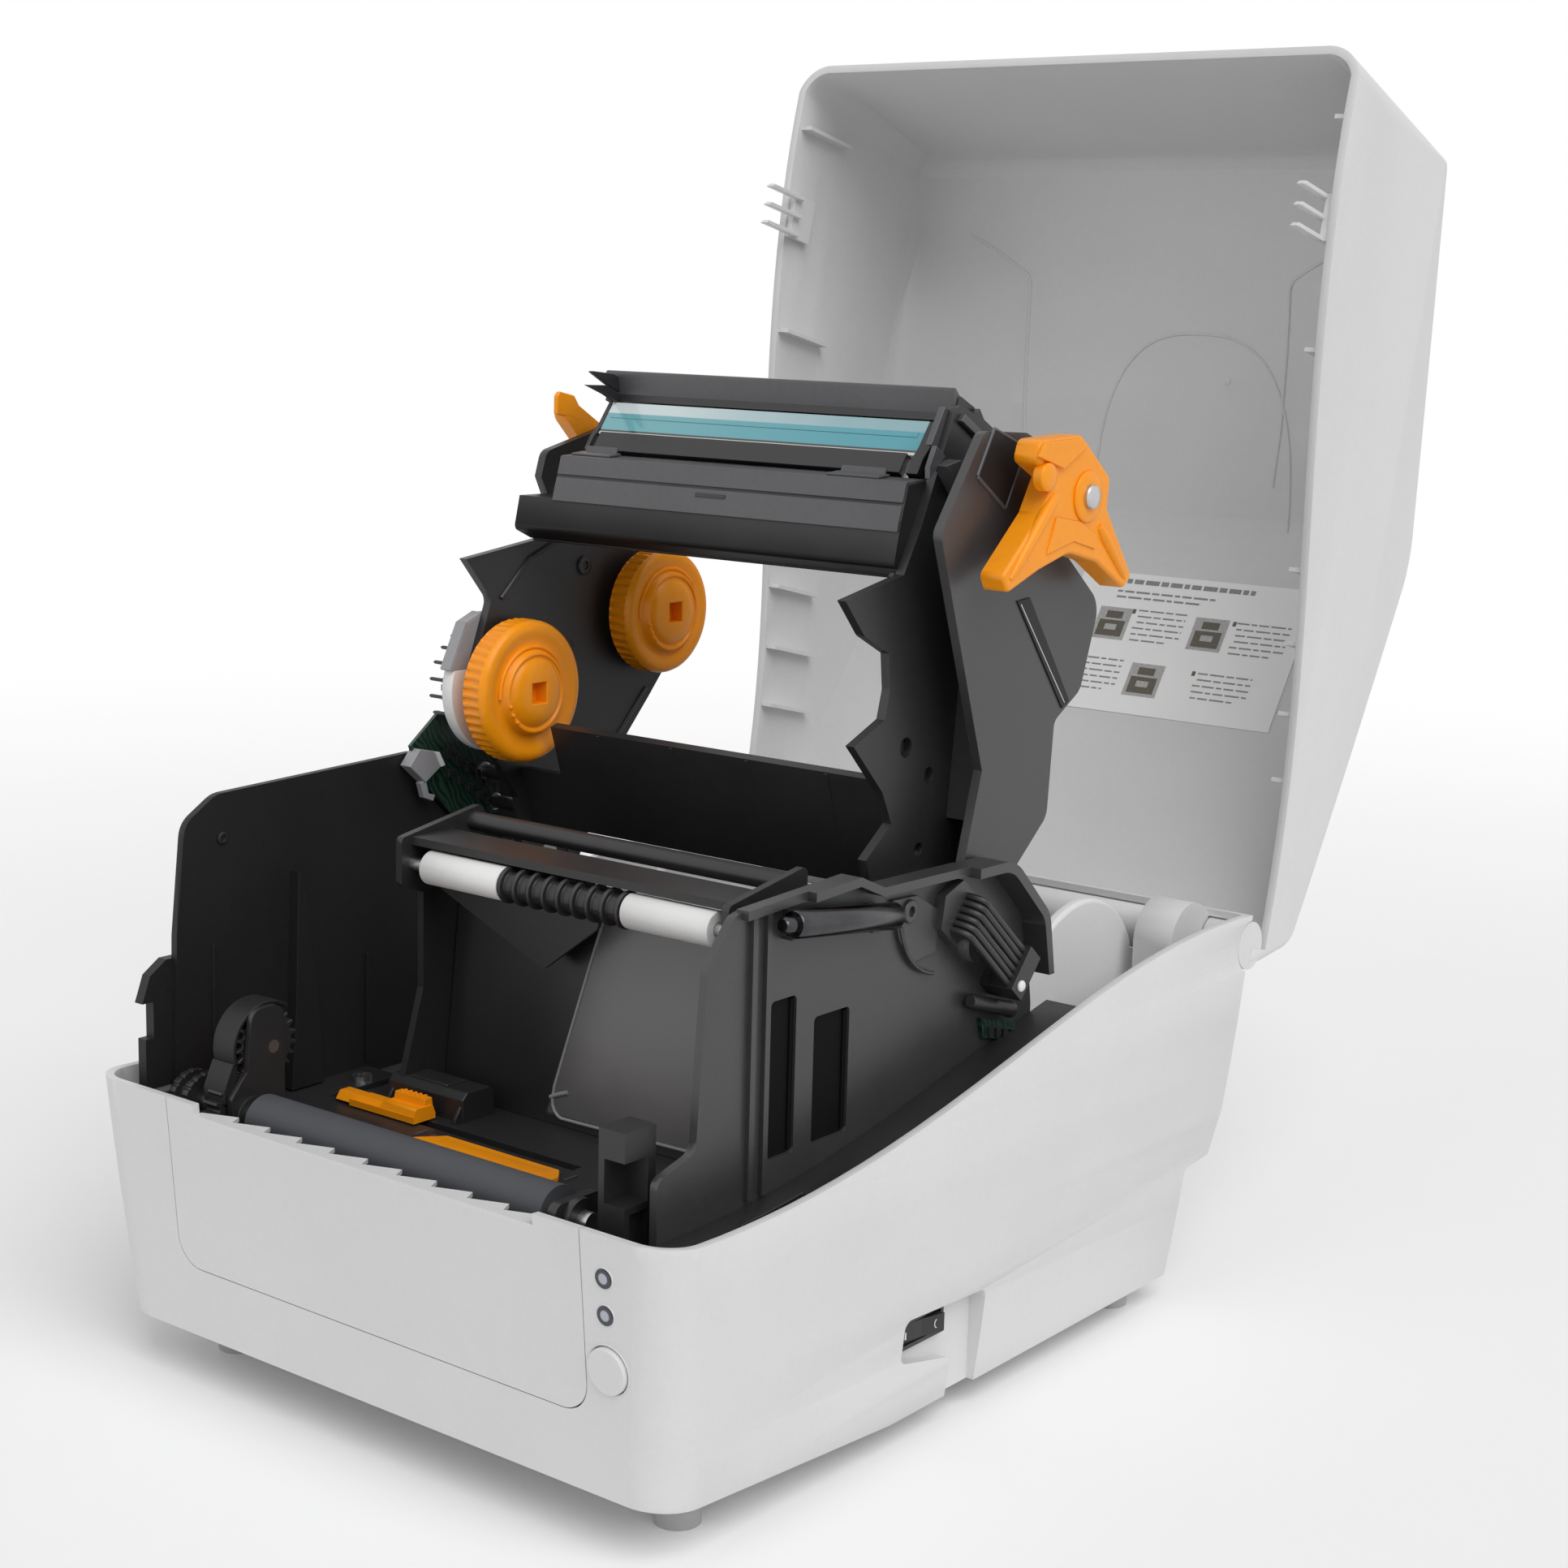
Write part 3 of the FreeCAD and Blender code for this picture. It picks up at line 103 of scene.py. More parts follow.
class Graph:
    """A node tree whose nodes are all made by one method."""

    def __init__(self, tree, shader):
        self.tree = tree
        self.shader = tree.nodes[shader]

    def node(self, kind, settings=None, inputs=None, out=0):
        made = self.tree.nodes.new("ShaderNode" + kind)
        for label, value in (settings or {}).items():
            setattr(made, label, value)
        for label, value in (inputs or {}).items():
            self.feed(made.inputs[label], value)
        return Value(self, made.outputs[out])

    def feed(self, socket, value):
        """Links a value to a socket, or sets a constant on it."""
        if isinstance(value, Value):
            self.tree.links.new(value.socket, socket)
        else:
            socket.default_value = value

    def put(self, label, value):
        self.feed(self.shader.inputs[label], value)


class Finish(Graph):
    """One surface finish, whose shader is written as expressions."""

    def __init__(self, name, plain=None):
        self.material = bpy.data.materials.new(name)
        self.material.use_nodes = True
        super().__init__(self.material.node_tree, "Principled BSDF")
        for label, value in (plain or {}).items():
            self.put(label, value)

    def where(self):
        return self.node("TexCoord", out="Object")

    def xyz(self):
        """The drawing's X, Y and Z of the surface point, in millimetres from the row's origin."""
        spot = self.where()
        parts = [self.node("SeparateXYZ", None, {"Vector": spot}, out=i) for i in range(3)]
        return [part * MM_IN_METRE for part in parts]

    def noise(self, size_mm, detail=2.0, stretch=(1, 1, 1)):
        spot = self.where()
        if stretch != (1, 1, 1):
            spot = self.node("Mapping", None, {"Vector": spot, "Scale": stretch})
        inputs = {"Vector": spot, "Scale": MM_IN_METRE / size_mm, "Detail": detail}
        return self.node("TexNoise", None, inputs)

    def tint(self, amount, low, high):
        inputs = {0: amount, 6: low, 7: high}
        return self.node("Mix", {"data_type": "RGBA"}, inputs, out=2)

    def relief(self, height, depth_mm):
        """Bumps of that depth where height runs from 0 to 1."""
        inputs = {"Height": height, "Distance": depth_mm * MM, "Strength": 1.0}
        self.put("Normal", self.node("Bump", None, inputs))


def shade(colour, factor):
    """A colour made darker or brighter, with full alpha."""
    return tuple(min(1.0, c * factor) for c in colour) + (1.0,)


def moulded(name, colour, rough, grain_mm=0.5, grain_depth=0.012, mottle=0.05, shine=0.5):
    """Moulded plastic: eroded-tool grain, slow flow mottling and patchy gloss."""
    finish = Finish(name, {"Specular IOR Level": shine})
    flow = finish.noise(38, 3)
    fine = finish.noise(grain_mm, 1)
    specks = finish.noise(2.2, 4)
    patch = flow * 0.6 + specks * 0.4
    dim, bright = shade(colour, 1 - mottle), shade(colour, 1 + mottle)
    finish.put("Base Color", finish.tint(patch.ramp(0.3, 0.7), dim, bright))
    finish.put("Roughness", rough - 0.06 + 0.12 * patch)
    finish.relief(fine, grain_depth)
    return finish


BLACK = (0.0185, 0.0185, 0.0200)
# Near-black that paints deep shade in hollows and on undersides
DEEP_SHADE = (0.004, 0.004, 0.0045)

# Name, colour, roughness, grain size and depth in millimetres, mottling and shine
MOULDED = {
    "case": ("case_grey_plastic", (0.685, 0.685, 0.690), 0.46, 0.7, 0.02, 0.02),
    "holder": ("holder_grey_plastic", (0.80, 0.80, 0.805), 0.40, 0.7, 0.015, 0.02),
    # Mid-dark grey: the colour of some trim, and a painted sheen on the head cover's lip and on the beam's
    # bands
    "graphite": ("graphite_plastic", (0.075, 0.075, 0.080), 0.34, 0.6, 0.012, 0.10),
    "black": ("black_chassis_plastic", BLACK, 0.42, 0.6, 0.02, 0.14),
    # Lit copy of the chassis black: a lighter base that paints the light and sheen on the right wall, its
    # shell and the pieces on it
    "satin": ("satin_chassis_plastic", (0.034, 0.034, 0.036), 0.40, 0.6, 0.015, 0.12, 0.68),
    # Shaded copy of the chassis black: a darker base that paints the shade on the left wall, its ribs, the
    # gear guard and the beads under the beam
    "matt": ("matt_chassis_plastic", (0.0105, 0.0105, 0.0115), 0.52, 0.6, 0.02, 0.14, 0.34),
    "recess": ("recess_black_plastic", DEEP_SHADE, 0.7, 0.6, 0.02, 0.2, 0.10),
    "grey": ("grey_clutch_plastic", (0.30, 0.30, 0.315), 0.45),
    "white": ("white_roller_plastic", (0.80, 0.80, 0.79), 0.4, 0.5, 0.01, 0.02),
    "orange": ("orange_control_plastic", (0.98, 0.325, 0.004), 0.32, 0.5, 0.006, 0.05, 0.36),
    "foot": ("foot_rubber", (0.42, 0.42, 0.43), 0.75),
}
finishes = {key: moulded(*recipe) for key, recipe in MOULDED.items()}


def platen_finish():
    """Ground rubber with fine rings left by the grinding wheel."""
    finish = Finish("platen_ground_rubber")
    rings = finish.noise(0.35, 2, (1, 0.05, 0.05))
    dust = finish.noise(14, 2)
    finish.put("Base Color", finish.tint(dust, (0.050, 0.052, 0.060, 1), (0.066, 0.068, 0.077, 1)))
    finish.put("Roughness", 0.58 + 0.16 * dust)
    finish.relief(rings, 0.015)
    return finish


def turned_steel():
    """Bright steel with turning rings and a few smears."""
    finish = Finish("turned_steel", {"Metallic": 1.0})
    rings = finish.noise(0.25, 2, (1, 0.08, 0.08))
    smear = finish.noise(9, 3)
    finish.put("Base Color", finish.tint(smear, (0.47, 0.47, 0.48, 1), (0.66, 0.66, 0.66, 1)))
    finish.put("Roughness", 0.2 + 0.16 * rings + 0.08 * smear)
    finish.relief(rings, 0.006)
    return finish


def sink_aluminium():
    """Extruded aluminium with lines along its length."""
    finish = Finish("extruded_aluminium", {"Metallic": 1.0})
    lines = finish.noise(0.3, 2, (0.03, 1, 1))
    finish.put("Base Color", finish.tint(lines, (0.52, 0.52, 0.53, 1), (0.68, 0.68, 0.69, 1)))
    finish.put("Roughness", 0.32 + 0.18 * lines)
    finish.relief(lines, 0.01)
    return finish


TRACK_STEP = 2.4


def board_green():
    """Green solder mask with tracks showing through."""
    finish = Finish("circuit_board_mask", {"Coat Weight": 0.4})
    _, y, z = finish.xyz()
    wander = finish.noise(7, 1)
    tracks = abs((y + z * 0.6 + wander * 6) % TRACK_STEP - TRACK_STEP / 2).ramp(0.5, 0.7)
    finish.put("Base Color", finish.tint(tracks, (0.004, 0.020, 0.012, 1), (0.010, 0.042, 0.026, 1)))
    finish.put("Roughness", 0.3 + 0.2 * tracks)
    finish.relief(tracks, 0.03)
    return finish


def paper_sheet():
    """Coated paper with a faint cloud and fine fibres."""
    finish = Finish("sticker_paper")
    fibre = finish.noise(0.8, 3)
    cloud = finish.noise(14, 3)
    finish.put("Base Color", finish.tint(cloud, (0.90, 0.90, 0.90, 1), (0.96, 0.96, 0.955, 1)))
    finish.put("Roughness", 0.42 + 0.15 * fibre)
    finish.relief(fibre, 0.006)
    return finish


LIGHT_X = 91.0
LIGHT_HEIGHTS = (78.7, 68.6)


def lamp_lens():
    """Light pipe: a pale middle in a dark ring."""
    finish = Finish("lamp_lens", {"Coat Weight": 0.5})
    x, _, z = finish.xyz()
    upper, lower = [abs(z - height) for height in LIGHT_HEIGHTS]
    aside = x - LIGHT_X
    height = upper.math("MINIMUM", upper, lower)
    square = aside * aside + height * height
    span = square.math("SQRT", square)
    middle, rim = (0.42, 0.44, 0.50, 1), (0.02, 0.02, 0.035, 1)
    finish.put("Base Color", finish.tint(span.ramp(1.2, 1.7), middle, rim))
    finish.put("Roughness", 0.2 + 0.15 * finish.noise(1.5))
    return finish


def dark_steel():
    """Blackened steel, polished along its length."""
    finish = Finish("dark_rod_steel", {"Metallic": 1.0})
    smear = finish.noise(6, 3)
    lines = finish.noise(0.3, 2, (1, 0.06, 1))
    finish.put("Base Color", finish.tint(smear, (0.05, 0.05, 0.055, 1), (0.10, 0.10, 0.105, 1)))
    finish.put("Roughness", 0.16 + 0.12 * smear)
    finish.relief(lines, 0.004)
    return finish


def ceramic_bands():
    """Head ceramic: a pale glaze above, a blue-green one below it and a bright edge strip. The pale glaze
    fades into blue-green towards the right, which paints a highlight at its left end; the blue-green one
    darkens towards the right.
    """
    finish = Finish("glazed_ceramic", {"Coat Weight": 0.6})
    x, y, z = finish.xyz()
    lean = math.radians(HEAD_LEAN)
    forward = (y - HEATER_LINE[0] - DRAWING_SHIFT) * math.cos(lean)
    along = forward + (z - HEATER_LINE[1]) * math.sin(lean)
    wander = finish.noise(16, 2)
    # Painted highlight: the pale band is brightest at the left end
    pale = finish.tint((x + wander * 30).ramp(-50, 65), (0.66, 0.74, 0.75, 1), (0.26, 0.44, 0.48, 1))
    glaze = finish.tint((x + wander * 20).ramp(-60, 60), (0.16, 0.42, 0.46, 1), (0.07, 0.34, 0.41, 1))
    bands = finish.tint((along + wander * 0.3).ramp(0.9, 1.5), glaze, pale)
    bands = finish.tint(along.ramp(-5.5, -5.2), (0.03, 0.03, 0.03, 1), bands)
    bands = finish.tint(along.ramp(-6.2, -5.9), (0.72, 0.72, 0.70, 1), bands)
    finish.put("Base Color", bands)
    finish.put("Roughness", 0.12 + 0.12 * finish.noise(3))
    finish.relief(finish.noise(1.2), 0.002)
    return finish


GUIDE_EDGE_FOOT = -13.0
GUIDE_EDGE_LEVEL = 80.0
GUIDE_EDGE_SLOPE = 0.262


def guide_with_painted_reflection():
    """Black plastic with a painted reflection on its right side, behind a slanted edge: a grey that brightens
    further right and higher up.
    """
    finish = Finish("guide_reflection_plastic")
    x, _, z = finish.xyz()
    cloud = finish.noise(40, 2)
    aside = x - (z - GUIDE_EDGE_LEVEL) * GUIDE_EDGE_SLOPE - GUIDE_EDGE_FOOT
    inside = aside.ramp(-0.6, 0.6) * z.ramp(77.0, 78.2)
    # Painted reflection: grey that brightens to the right of the edge and upwards
    sheen = (aside + cloud * 24).ramp(-6, 30) * (z + cloud * 30).ramp(78, 120)
    panel = finish.tint(sheen, (0.085, 0.085, 0.088, 1), (0.215, 0.215, 0.218, 1))
    finish.put("Base Color", finish.tint(inside, (0.016, 0.016, 0.018, 1), panel))
    finish.put("Roughness", 0.3 + 0.12 * cloud)
    finish.relief(finish.noise(0.6, 1), 0.01)
    return finish


BEAM_SHADE = (246.0, 264.0)


def beam_plastic():
    """Black plastic, darker and duller towards the underside and a little more so at the left end: a painted
    shade.
    """
    finish = Finish("beam_black_plastic")
    x, _, z = finish.xyz()
    cloud = finish.noise(34, 3)
    finish.put("Base Color", finish.tint(cloud.ramp(0.3, 0.7), shade(BLACK, 0.85), shade(BLACK, 1.15)))
    finish.put("Roughness", 0.36 + 0.12 * cloud)
    finish.relief(finish.noise(0.6, 1), 0.02)
    # Painted shade: a dull near-black shader that takes over low on the beam, a little higher towards its
    # left end
    underside = {"Base Color": shade(DEEP_SHADE, 1.2), "Specular IOR Level": 0.16}
    matt = finish.node("BsdfPrincipled", None, underside)
    rise = (z + x * 0.04 + cloud * 5).ramp(*BEAM_SHADE)
    upper = Value(finish, finish.shader.outputs[0])
    mixed = finish.node("MixShader", None, {0: rise, 1: matt, 2: upper})
    finish.feed(finish.tree.nodes["Material Output"].inputs["Surface"], mixed)
    return finish


def printed(name, colour):
    """Printing ink with the paper's tooth showing through."""
    finish = Finish(name)
    tooth = finish.noise(0.5, 2)
    finish.put("Base Color", finish.tint(tooth.ramp(0.3, 0.75), shade(colour, 0.85), shade(colour, 1.3)))
    finish.put("Roughness", 0.4 + 0.2 * tooth)
    finish.relief(tooth, 0.003)
    return finish


finishes["ink"] = printed("sticker_ink", (0.25, 0.25, 0.26))
finishes["picture"] = printed("sticker_picture_ink", (0.10, 0.088, 0.065))
finishes["picture_pale"] = printed("sticker_pale_ink", (0.42, 0.42, 0.42))
finishes["rubber"] = platen_finish()
finishes["dark_steel"] = dark_steel()
finishes["steel"] = turned_steel()
finishes["aluminium"] = sink_aluminium()
finishes["board"] = board_green()
finishes["paper"] = paper_sheet()
finishes["lamp"] = lamp_lens()
finishes["glaze"] = ceramic_bands()
finishes["guide"] = guide_with_painted_reflection()
finishes["beam"] = beam_plastic()

NODE_FINISH = {
    "case": ["base_housing", "front_panel", "lid_shell", "lid_latches", "bottom_cover", "feed_button"],
    "holder": ["roll_holder_right", "roll_holder_left"],
    "guide": ["media_guide"],
    # The right wall and its shell take the lit black, a painted light
    "satin": ["right_wall", "unit_right_shell"],
    # The left wall takes the shaded black, a painted shade
    "matt": ["left_wall"],
    "beam": ["unit_head_beam"],
    "black": ["switch_frame", "power_inlet", "chassis_floor", "deck", "beam_frame",
              "platen_bushings", "drive_brackets", "cable_bundle", "unit_left_plate", "unit_right_plate",
              "head_driver_cover", "guide_core", "platen_wheels", "power_rocker", "ribbon_gear",
              "reduction_gear", "cable_plug"],
    "grey": ["clutch_housing", "holder_pinion"],
    "white": ["guide_sleeves", "clutch_ring"],
    "orange": ["ribbon_hub_supply", "ribbon_hub_rewind", "release_lever", "sensor_knob", "sensor_strip"],
    "rubber": ["platen_rubber"],
    "foot": ["rubber_feet"],
    "steel": ["case_screws", "hinge_pins", "pivot_pins", "guide_shaft", "gear_axles", "platen_shaft",
              "lever_shaft", "motor", "motor_pinion", "head_springs", "data_sockets"],
    "aluminium": ["head_heat_sink"],
    "board": ["main_board", "ribbon_board"],
    "glaze": ["head_ceramic"],
    "paper": ["lid_sticker"],
    "lamp": ["indicator_lights"],
}


WELD_GAP = 0.000004
ROUND_FROM = math.radians(40)
SHARP_FROM = math.radians(38)


def soften(obj, width_mm):
    """Small rounded edges, so that edges catch the light as moulded ones do."""
    weld = obj.modifiers.new("weld", "WELD")
    weld.merge_threshold = WELD_GAP
    bevel = obj.modifiers.new("edge_round", "BEVEL")
    bevel.width = width_mm * MM
    bevel.segments = 2
    bevel.limit_method = "ANGLE"
    bevel.angle_limit = ROUND_FROM
    bevel.harden_normals = True


EDGE_ROUND = {"case": 0.5, "holder": 0.4, "guide": 0.3, "black": 0.35, "satin": 0.35,
              "matt": 0.35, "beam": 0.35, "orange": 0.8, "white": 0.3, "grey": 0.3}
for key, names in NODE_FINISH.items():
    for name in names:
        node = nodes[name]
        node.data.materials.clear()
        node.data.materials.append(finishes[key].material)
        if key in EDGE_ROUND:
            soften(node, EDGE_ROUND[key])


def polar(axis, reach, degrees):
    """The Y and Z of a point at a reach and an angle from an axis along X."""
    angle = math.radians(degrees)
    return axis[0] + reach * math.cos(angle), axis[1] + reach * math.sin(angle)


def head_at(along, out):
    """A point along the print head's face and out from it, with the heater line at zero."""
    lean = math.radians(HEAD_LEAN)
    y = HEATER_LINE[0] + along * math.cos(lean) - out * math.sin(lean)
    z = HEATER_LINE[1] + along * math.sin(lean) + out * math.cos(lean)
    return y, z


BEAD_UPRIGHT = Vector((0.36, 0.48, 0.8))


def round_ring(middle, side, other, radius, count):
    """Points round a middle, in the plane of two directions."""
    turns = [2 * math.pi * i / count for i in range(count)]
    return [middle + (side * math.cos(a) + other * math.sin(a)) * radius * MM for a in turns]


class Piece:
    """Gathers the faces of one piece and makes them an object that rides a body."""

    def __init__(self, place=at):
        self.mesh = bmesh.new()
        self.place = place

    def loft(self, rings):
        """Skin over rings of points, shut at its first and last ring."""
        rows = [[self.mesh.verts.new(spot) for spot in ring] for ring in rings]
        count = len(rows[0])
        for low, high in zip(rows, rows[1:]):
            for i in range(count):
                j = (i + 1) % count
                self.mesh.faces.new((low[i], low[j], high[j], high[i]))
        self.mesh.faces.new(rows[0][::-1])
        self.mesh.faces.new(rows[-1])
        return self

    def prism(self, outline, x0, x1):
        """Outline in Y and Z, drawn out from one X to another."""
        return self.loft([[self.place(x, y, z) for y, z in outline] for x in (x0, x1)])

    def block(self, x0, x1, y0, y1, z0, z1):
        return self.prism([(y0, z0), (y1, z0), (y1, z1), (y0, z1)], x0, x1)

    def turned(self, axis, profile, count=40):
        """Turned about an X axis; the profile gives (x, radius)."""
        angles = [360 * i / count for i in range(count)]
        rings = [[self.place(x, *polar(axis, radius, a)) for a in angles] for x, radius in profile]
        return self.loft(rings)

    def rod(self, start, end, profile, count=20):
        """Turned about the line from start to end; the profile gives (share of the way, radius)."""
        start, end = self.place(*start), self.place(*end)
        run = end - start
        side = run.orthogonal().normalized()
        other = run.normalized().cross(side)
        rings = [round_ring(start + run * share, side, other, radius, count) for share, radius in profile]
        return self.loft(rings)

    def bead(self, spots, radius, count=8):
        """Round bead along a row of points."""
        spots = [self.place(*spot) for spot in spots]
        rings = []
        for i, spot in enumerate(spots):
            ahead = spots[min(i + 1, len(spots) - 1)] - spots[max(i - 1, 0)]
            side = ahead.cross(BEAD_UPRIGHT).normalized()
            other = ahead.normalized().cross(side)
            rings.append(round_ring(spot, side, other, radius, count))
        return self.loft(rings)

    def done(self, name, body, key, edge=0.3):
        """Makes the object, with its finish and edges, and hands it to its body."""
        bmesh.ops.recalc_face_normals(self.mesh, faces=self.mesh.faces)
        data = bpy.data.meshes.new(name)
        self.mesh.to_mesh(data)
        self.mesh.free()
        data.shade_smooth()
        data.set_sharp_from_angle(angle=SHARP_FROM)
        data.materials.append(finishes[key].material)
        obj = bpy.data.objects.new(name, data)
        bpy.context.scene.collection.objects.link(obj)
        if edge:
            soften(obj, edge)
        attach(obj, body)
        return obj


# Ribbon hubs
HUB_SUPPLY = (-6.7, 194.9)
HUB_REWIND = (59.6, 215.5)
RIDGE_DEPTH = 0.8
RIDGE_SIDES = 4


def ribbon_hub(node, axis, radius, ridges, body):
    """Hub with a ridged rim, a dished face, a stepped dome and a square drive socket."""
    count = ridges * RIDGE_SIDES
    angles = [2 * math.pi * i / count for i in range(count)]

    def loop(x, reaches):
        return [at(x, axis[0] + r * math.cos(a), axis[1] + r * math.sin(a)) for r, a in zip(reaches, angles)]

    def ring(x, reach, ripple=0.0):
        return loop(x, [reach - ripple if i % RIDGE_SIDES in (1, 2) else reach for i in range(count)])

    def square(x, half):
        return loop(x, [half / max(abs(math.cos(a)), abs(math.sin(a))) for a in angles])

    back = [
        (-92, 3), (-76.6, 3), (-76.6, 12.5), (-74.2, 12.5), (-74.2, radius - 1.6), (-73.4, radius - 0.3),
    ]
    rings = [ring(x, reach) for x, reach in back]
    rings += [ring(x, radius, RIDGE_DEPTH) for x in (-73.0, -67.6)]
    face = [
        (-66.6, -0.15), (-65.6, -0.6), (-64.9, -1.3), (-64.5, -2.3), (-64.45, -3.4), (-64.7, -4.6),
        (-65.2, -6.0),
    ]
    rings += [ring(x, radius + step) for x, step in face]
    dome = [
        (-65.4, 15.2), (-65.2, 14.2), (-64.6, 13.6), (-63.4, 13.2), (-62.9, 12.7), (-62.9, 12.1),
        (-63.4, 11.7), (-63.5, 11.2), (-62.8, 10.4), (-62.2, 9.2), (-61.8, 7.6), (-61.6, 6.0), (-61.55, 5.2),
    ]
    rings += [ring(x, reach) for x, reach in dome]
    rings += [square(x, half) for x, half in ((-61.55, 3.6), (-61.9, 3.3), (-66.5, 3.2))]
    made = Piece().loft(rings).done(node + "_moulding", body, "orange", 0)
    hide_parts(node)
    marks = Piece()
    marks.bead([(-65.0, *polar(axis, 14.6, 40 + 8 * i)) for i in range(19)], 0.7, 10)
    for angle in (196, 210, 224):
        marks.turned(polar(axis, 12.4, angle), [(-63.4, 0.7), (-62.5, 0.7), (-62.2, 0.3)], 12)
    marks.done(node + "_marks", body, "orange", 0)


ribbon_hub("ribbon_hub_supply", HUB_SUPPLY, 23.0, 48, "supply_hub")
ribbon_hub("ribbon_hub_rewind", HUB_REWIND, 21.0, 44, "rewind_hub")


# Clutch pins and the small parts on the ribbon board
def clutch_pins():
    """Stepped pins round the clutch housing, and two seams on its rim."""
    piece = Piece()
    profile = [(0, 0.9), (0.3, 0.9), (0.32, 0.6), (0.92, 0.6), (1, 0.3)]
    for degrees in (104, 119, 136, 153, 170, 187, 205):
        y, z = polar(HUB_SUPPLY, 18.5, degrees)
        piece.rod((-84.0, y, z), (-92.5, y, z), profile, 10)
    piece.done("clutch_pins", "print_unit", "black", 0)
    ledge = Piece()
    ledge.prism([(-28.4, 202.4), (-21.4, 216.9), (-21.0, 216.6), (-27.6, 202.0)], -84.6, -80.2)
    ledge.prism([(-21.2, 216.9), (-14.1, 219.8), (-14.0, 219.3), (-20.9, 216.4)], -84.6, -80.2)
    ledge.done("clutch_seams", "print_unit", "grey", 0.1)


def ribbon_wiring():
    """Connector block, its pale clip and two screw heads at the ribbon board."""
    block = Piece()
    block.prism([(-36, 171), (-31.5, 176.2), (-24, 174.5), (-21.5, 169.8), (-29, 165)], -94.9, -90.2)
    hook = [(-31, 165), (-28.6, 166.4), (-27.2, 161.2), (-24.4, 160.4), (-25.2, 158.4), (-29.4, 160)]
    block.prism(hook, -93.0, -90.6)
    block.done("ribbon_connector", "print_unit", "grey", 0.3)
    clip = Piece()
    clip.prism([(-25.2, 174.6), (-23.4, 174.4), (-20.8, 169.8), (-22.6, 169.4)], -94.6, -89.6)
    clip.done("ribbon_clip", "print_unit", "white", 0.2)
    parts = Piece()
    for i in range(5):
        y, z = -18 + 4.6 * i, 176 - 2.9 * i
        parts.block(-93.1, -91.9, y, y + 2.2, z - 5, z - 1.4)
        parts.block(-93.1, -91.5, y + 0.4, y + 2.8, z - 11, z - 8.4)
    parts.done("ribbon_board_parts", "print_unit", "black", 0.15)
    heads = Piece()
    for y, z in ((0, 165), (5, 154)):
        heads.rod((-93.1, y, z), (-91.6, y, z), [(0, 2.9), (0.55, 2.9), (0.85, 2.2), (1, 1.2)], 20)
    heads.done("ribbon_board_collars", "print_unit", "steel", 0)


clutch_pins()
ribbon_wiring()


# Rod, boss and wiring on the outside of the right wall
def wall_rod():
    """Steel rod with a turned-down tip, held by two clips."""
    piece = Piece()
    x = 98.4
    piece.rod((x, -80, 159.6), (x, -34, 154.0), [(0, 3.5), (0.012, 3.9), (0.988, 3.9), (1, 3.5)], 32)
    piece.rod((x, -84.5, 160.1), (x, -79, 159.4), [(0, 1.7), (0.15, 2.3), (1, 2.3)], 20)
    piece.done("wall_rod", "base", "dark_steel", 0)
    clip = Piece()
    for y, z in ((-76, 159.1), (-40, 154.7)):
        clip.prism([(y - 2, z - 4.6), (y + 2, z - 5.1), (y + 2, z + 3.0), (y - 2, z + 3.5)], 93.0, 97.0)
    clip.done("wall_rod_clips", "base", "satin", 0.3)


def wall_boss():
    """Raised pad with a bored boss and a curved rib."""
    piece = Piece()
    piece.prism([(-30, 157), (-26, 145), (-20, 137), (-8, 138), (-6, 150), (-18, 156.5)], 93.0, 94.8)
    piece.turned((-22, 152.6), [(94.0, 3.4), (95.6, 3.4), (96.0, 3.0), (96.0, 1.5), (94.4, 1.4)], 24)
    arc = [(94.9,) + polar((-6, 152), 20, 190 + 9 * i) for i in range(9)]
    piece.bead(arc, 0.7)
    piece.done("wall_boss", "base", "satin", 0.3)


def wall_wiring():
    """Clip tube and small board behind the cable plug."""
    tube = Piece()
    profile = [(0, 1.8), (0.04, 2.2), (0.9, 2.2), (0.94, 2.6), (1, 2.6)]
    tube.rod((96.6, 8.2, 120.7), (96.6, 30, 113.9), profile, 24)
    tube.block(93.2, 96.4, 12, 15, 117, 121)
    tube.block(93.2, 96.4, 25, 28, 113, 117)
    tube.done("wall_tube", "base", "black", 0.2)
    board = Piece()
    board.prism([(16.6, 113.4), (36.2, 108.3), (36.7, 102.6), (18.3, 107.3)], 93.4, 95.0)
    board.done("wall_board", "base", "board", 0)
    parts = Piece()
    for i in range(4):
        y, z = 20 + 3.9 * i, 109.6 - 1.0 * i
        parts.block(94.9, 96.2, y, y + 2.4, z - 2, z + 0.6)
    parts.done("wall_board_parts", "base", "black", 0.1)


def window_shade_backs():
    """Dark panels behind the two windows of the right wall, each with a step down its rear edge, in a
    near-black that paints the deep shade inside the windows.
    """
    panels = Piece()
    for y0, y1, top in ((-82, -71, 138), (-63, -47, 130)):
        panels.block(91.2, 91.9, y0 - 0.4, y1 + 0.4, 93.6, top + 0.4)
        panels.block(91.8, 92.6, y1 - 1.4, y1 + 0.2, 95, top - 1)
    panels.done("window_shade_backs", "base", "recess", 0.1)


wall_rod()
wall_boss()
wall_wiring()
window_shade_backs()


# Cable strands from the grommet to the plug
GROMMET = (97.0, 0.3, 148.6)
STRAND_COUNT = 6
STRAND_STEP = 2.3
STRAND_RADIUS = 1.1
STRAND_SLOPE = math.radians(-41.0)
STRAND_IN_GROMMET = 2.0
STRAND_OUT = 5.5
STRAND_BEND = 6.0
STRAND_REACH = 32.0


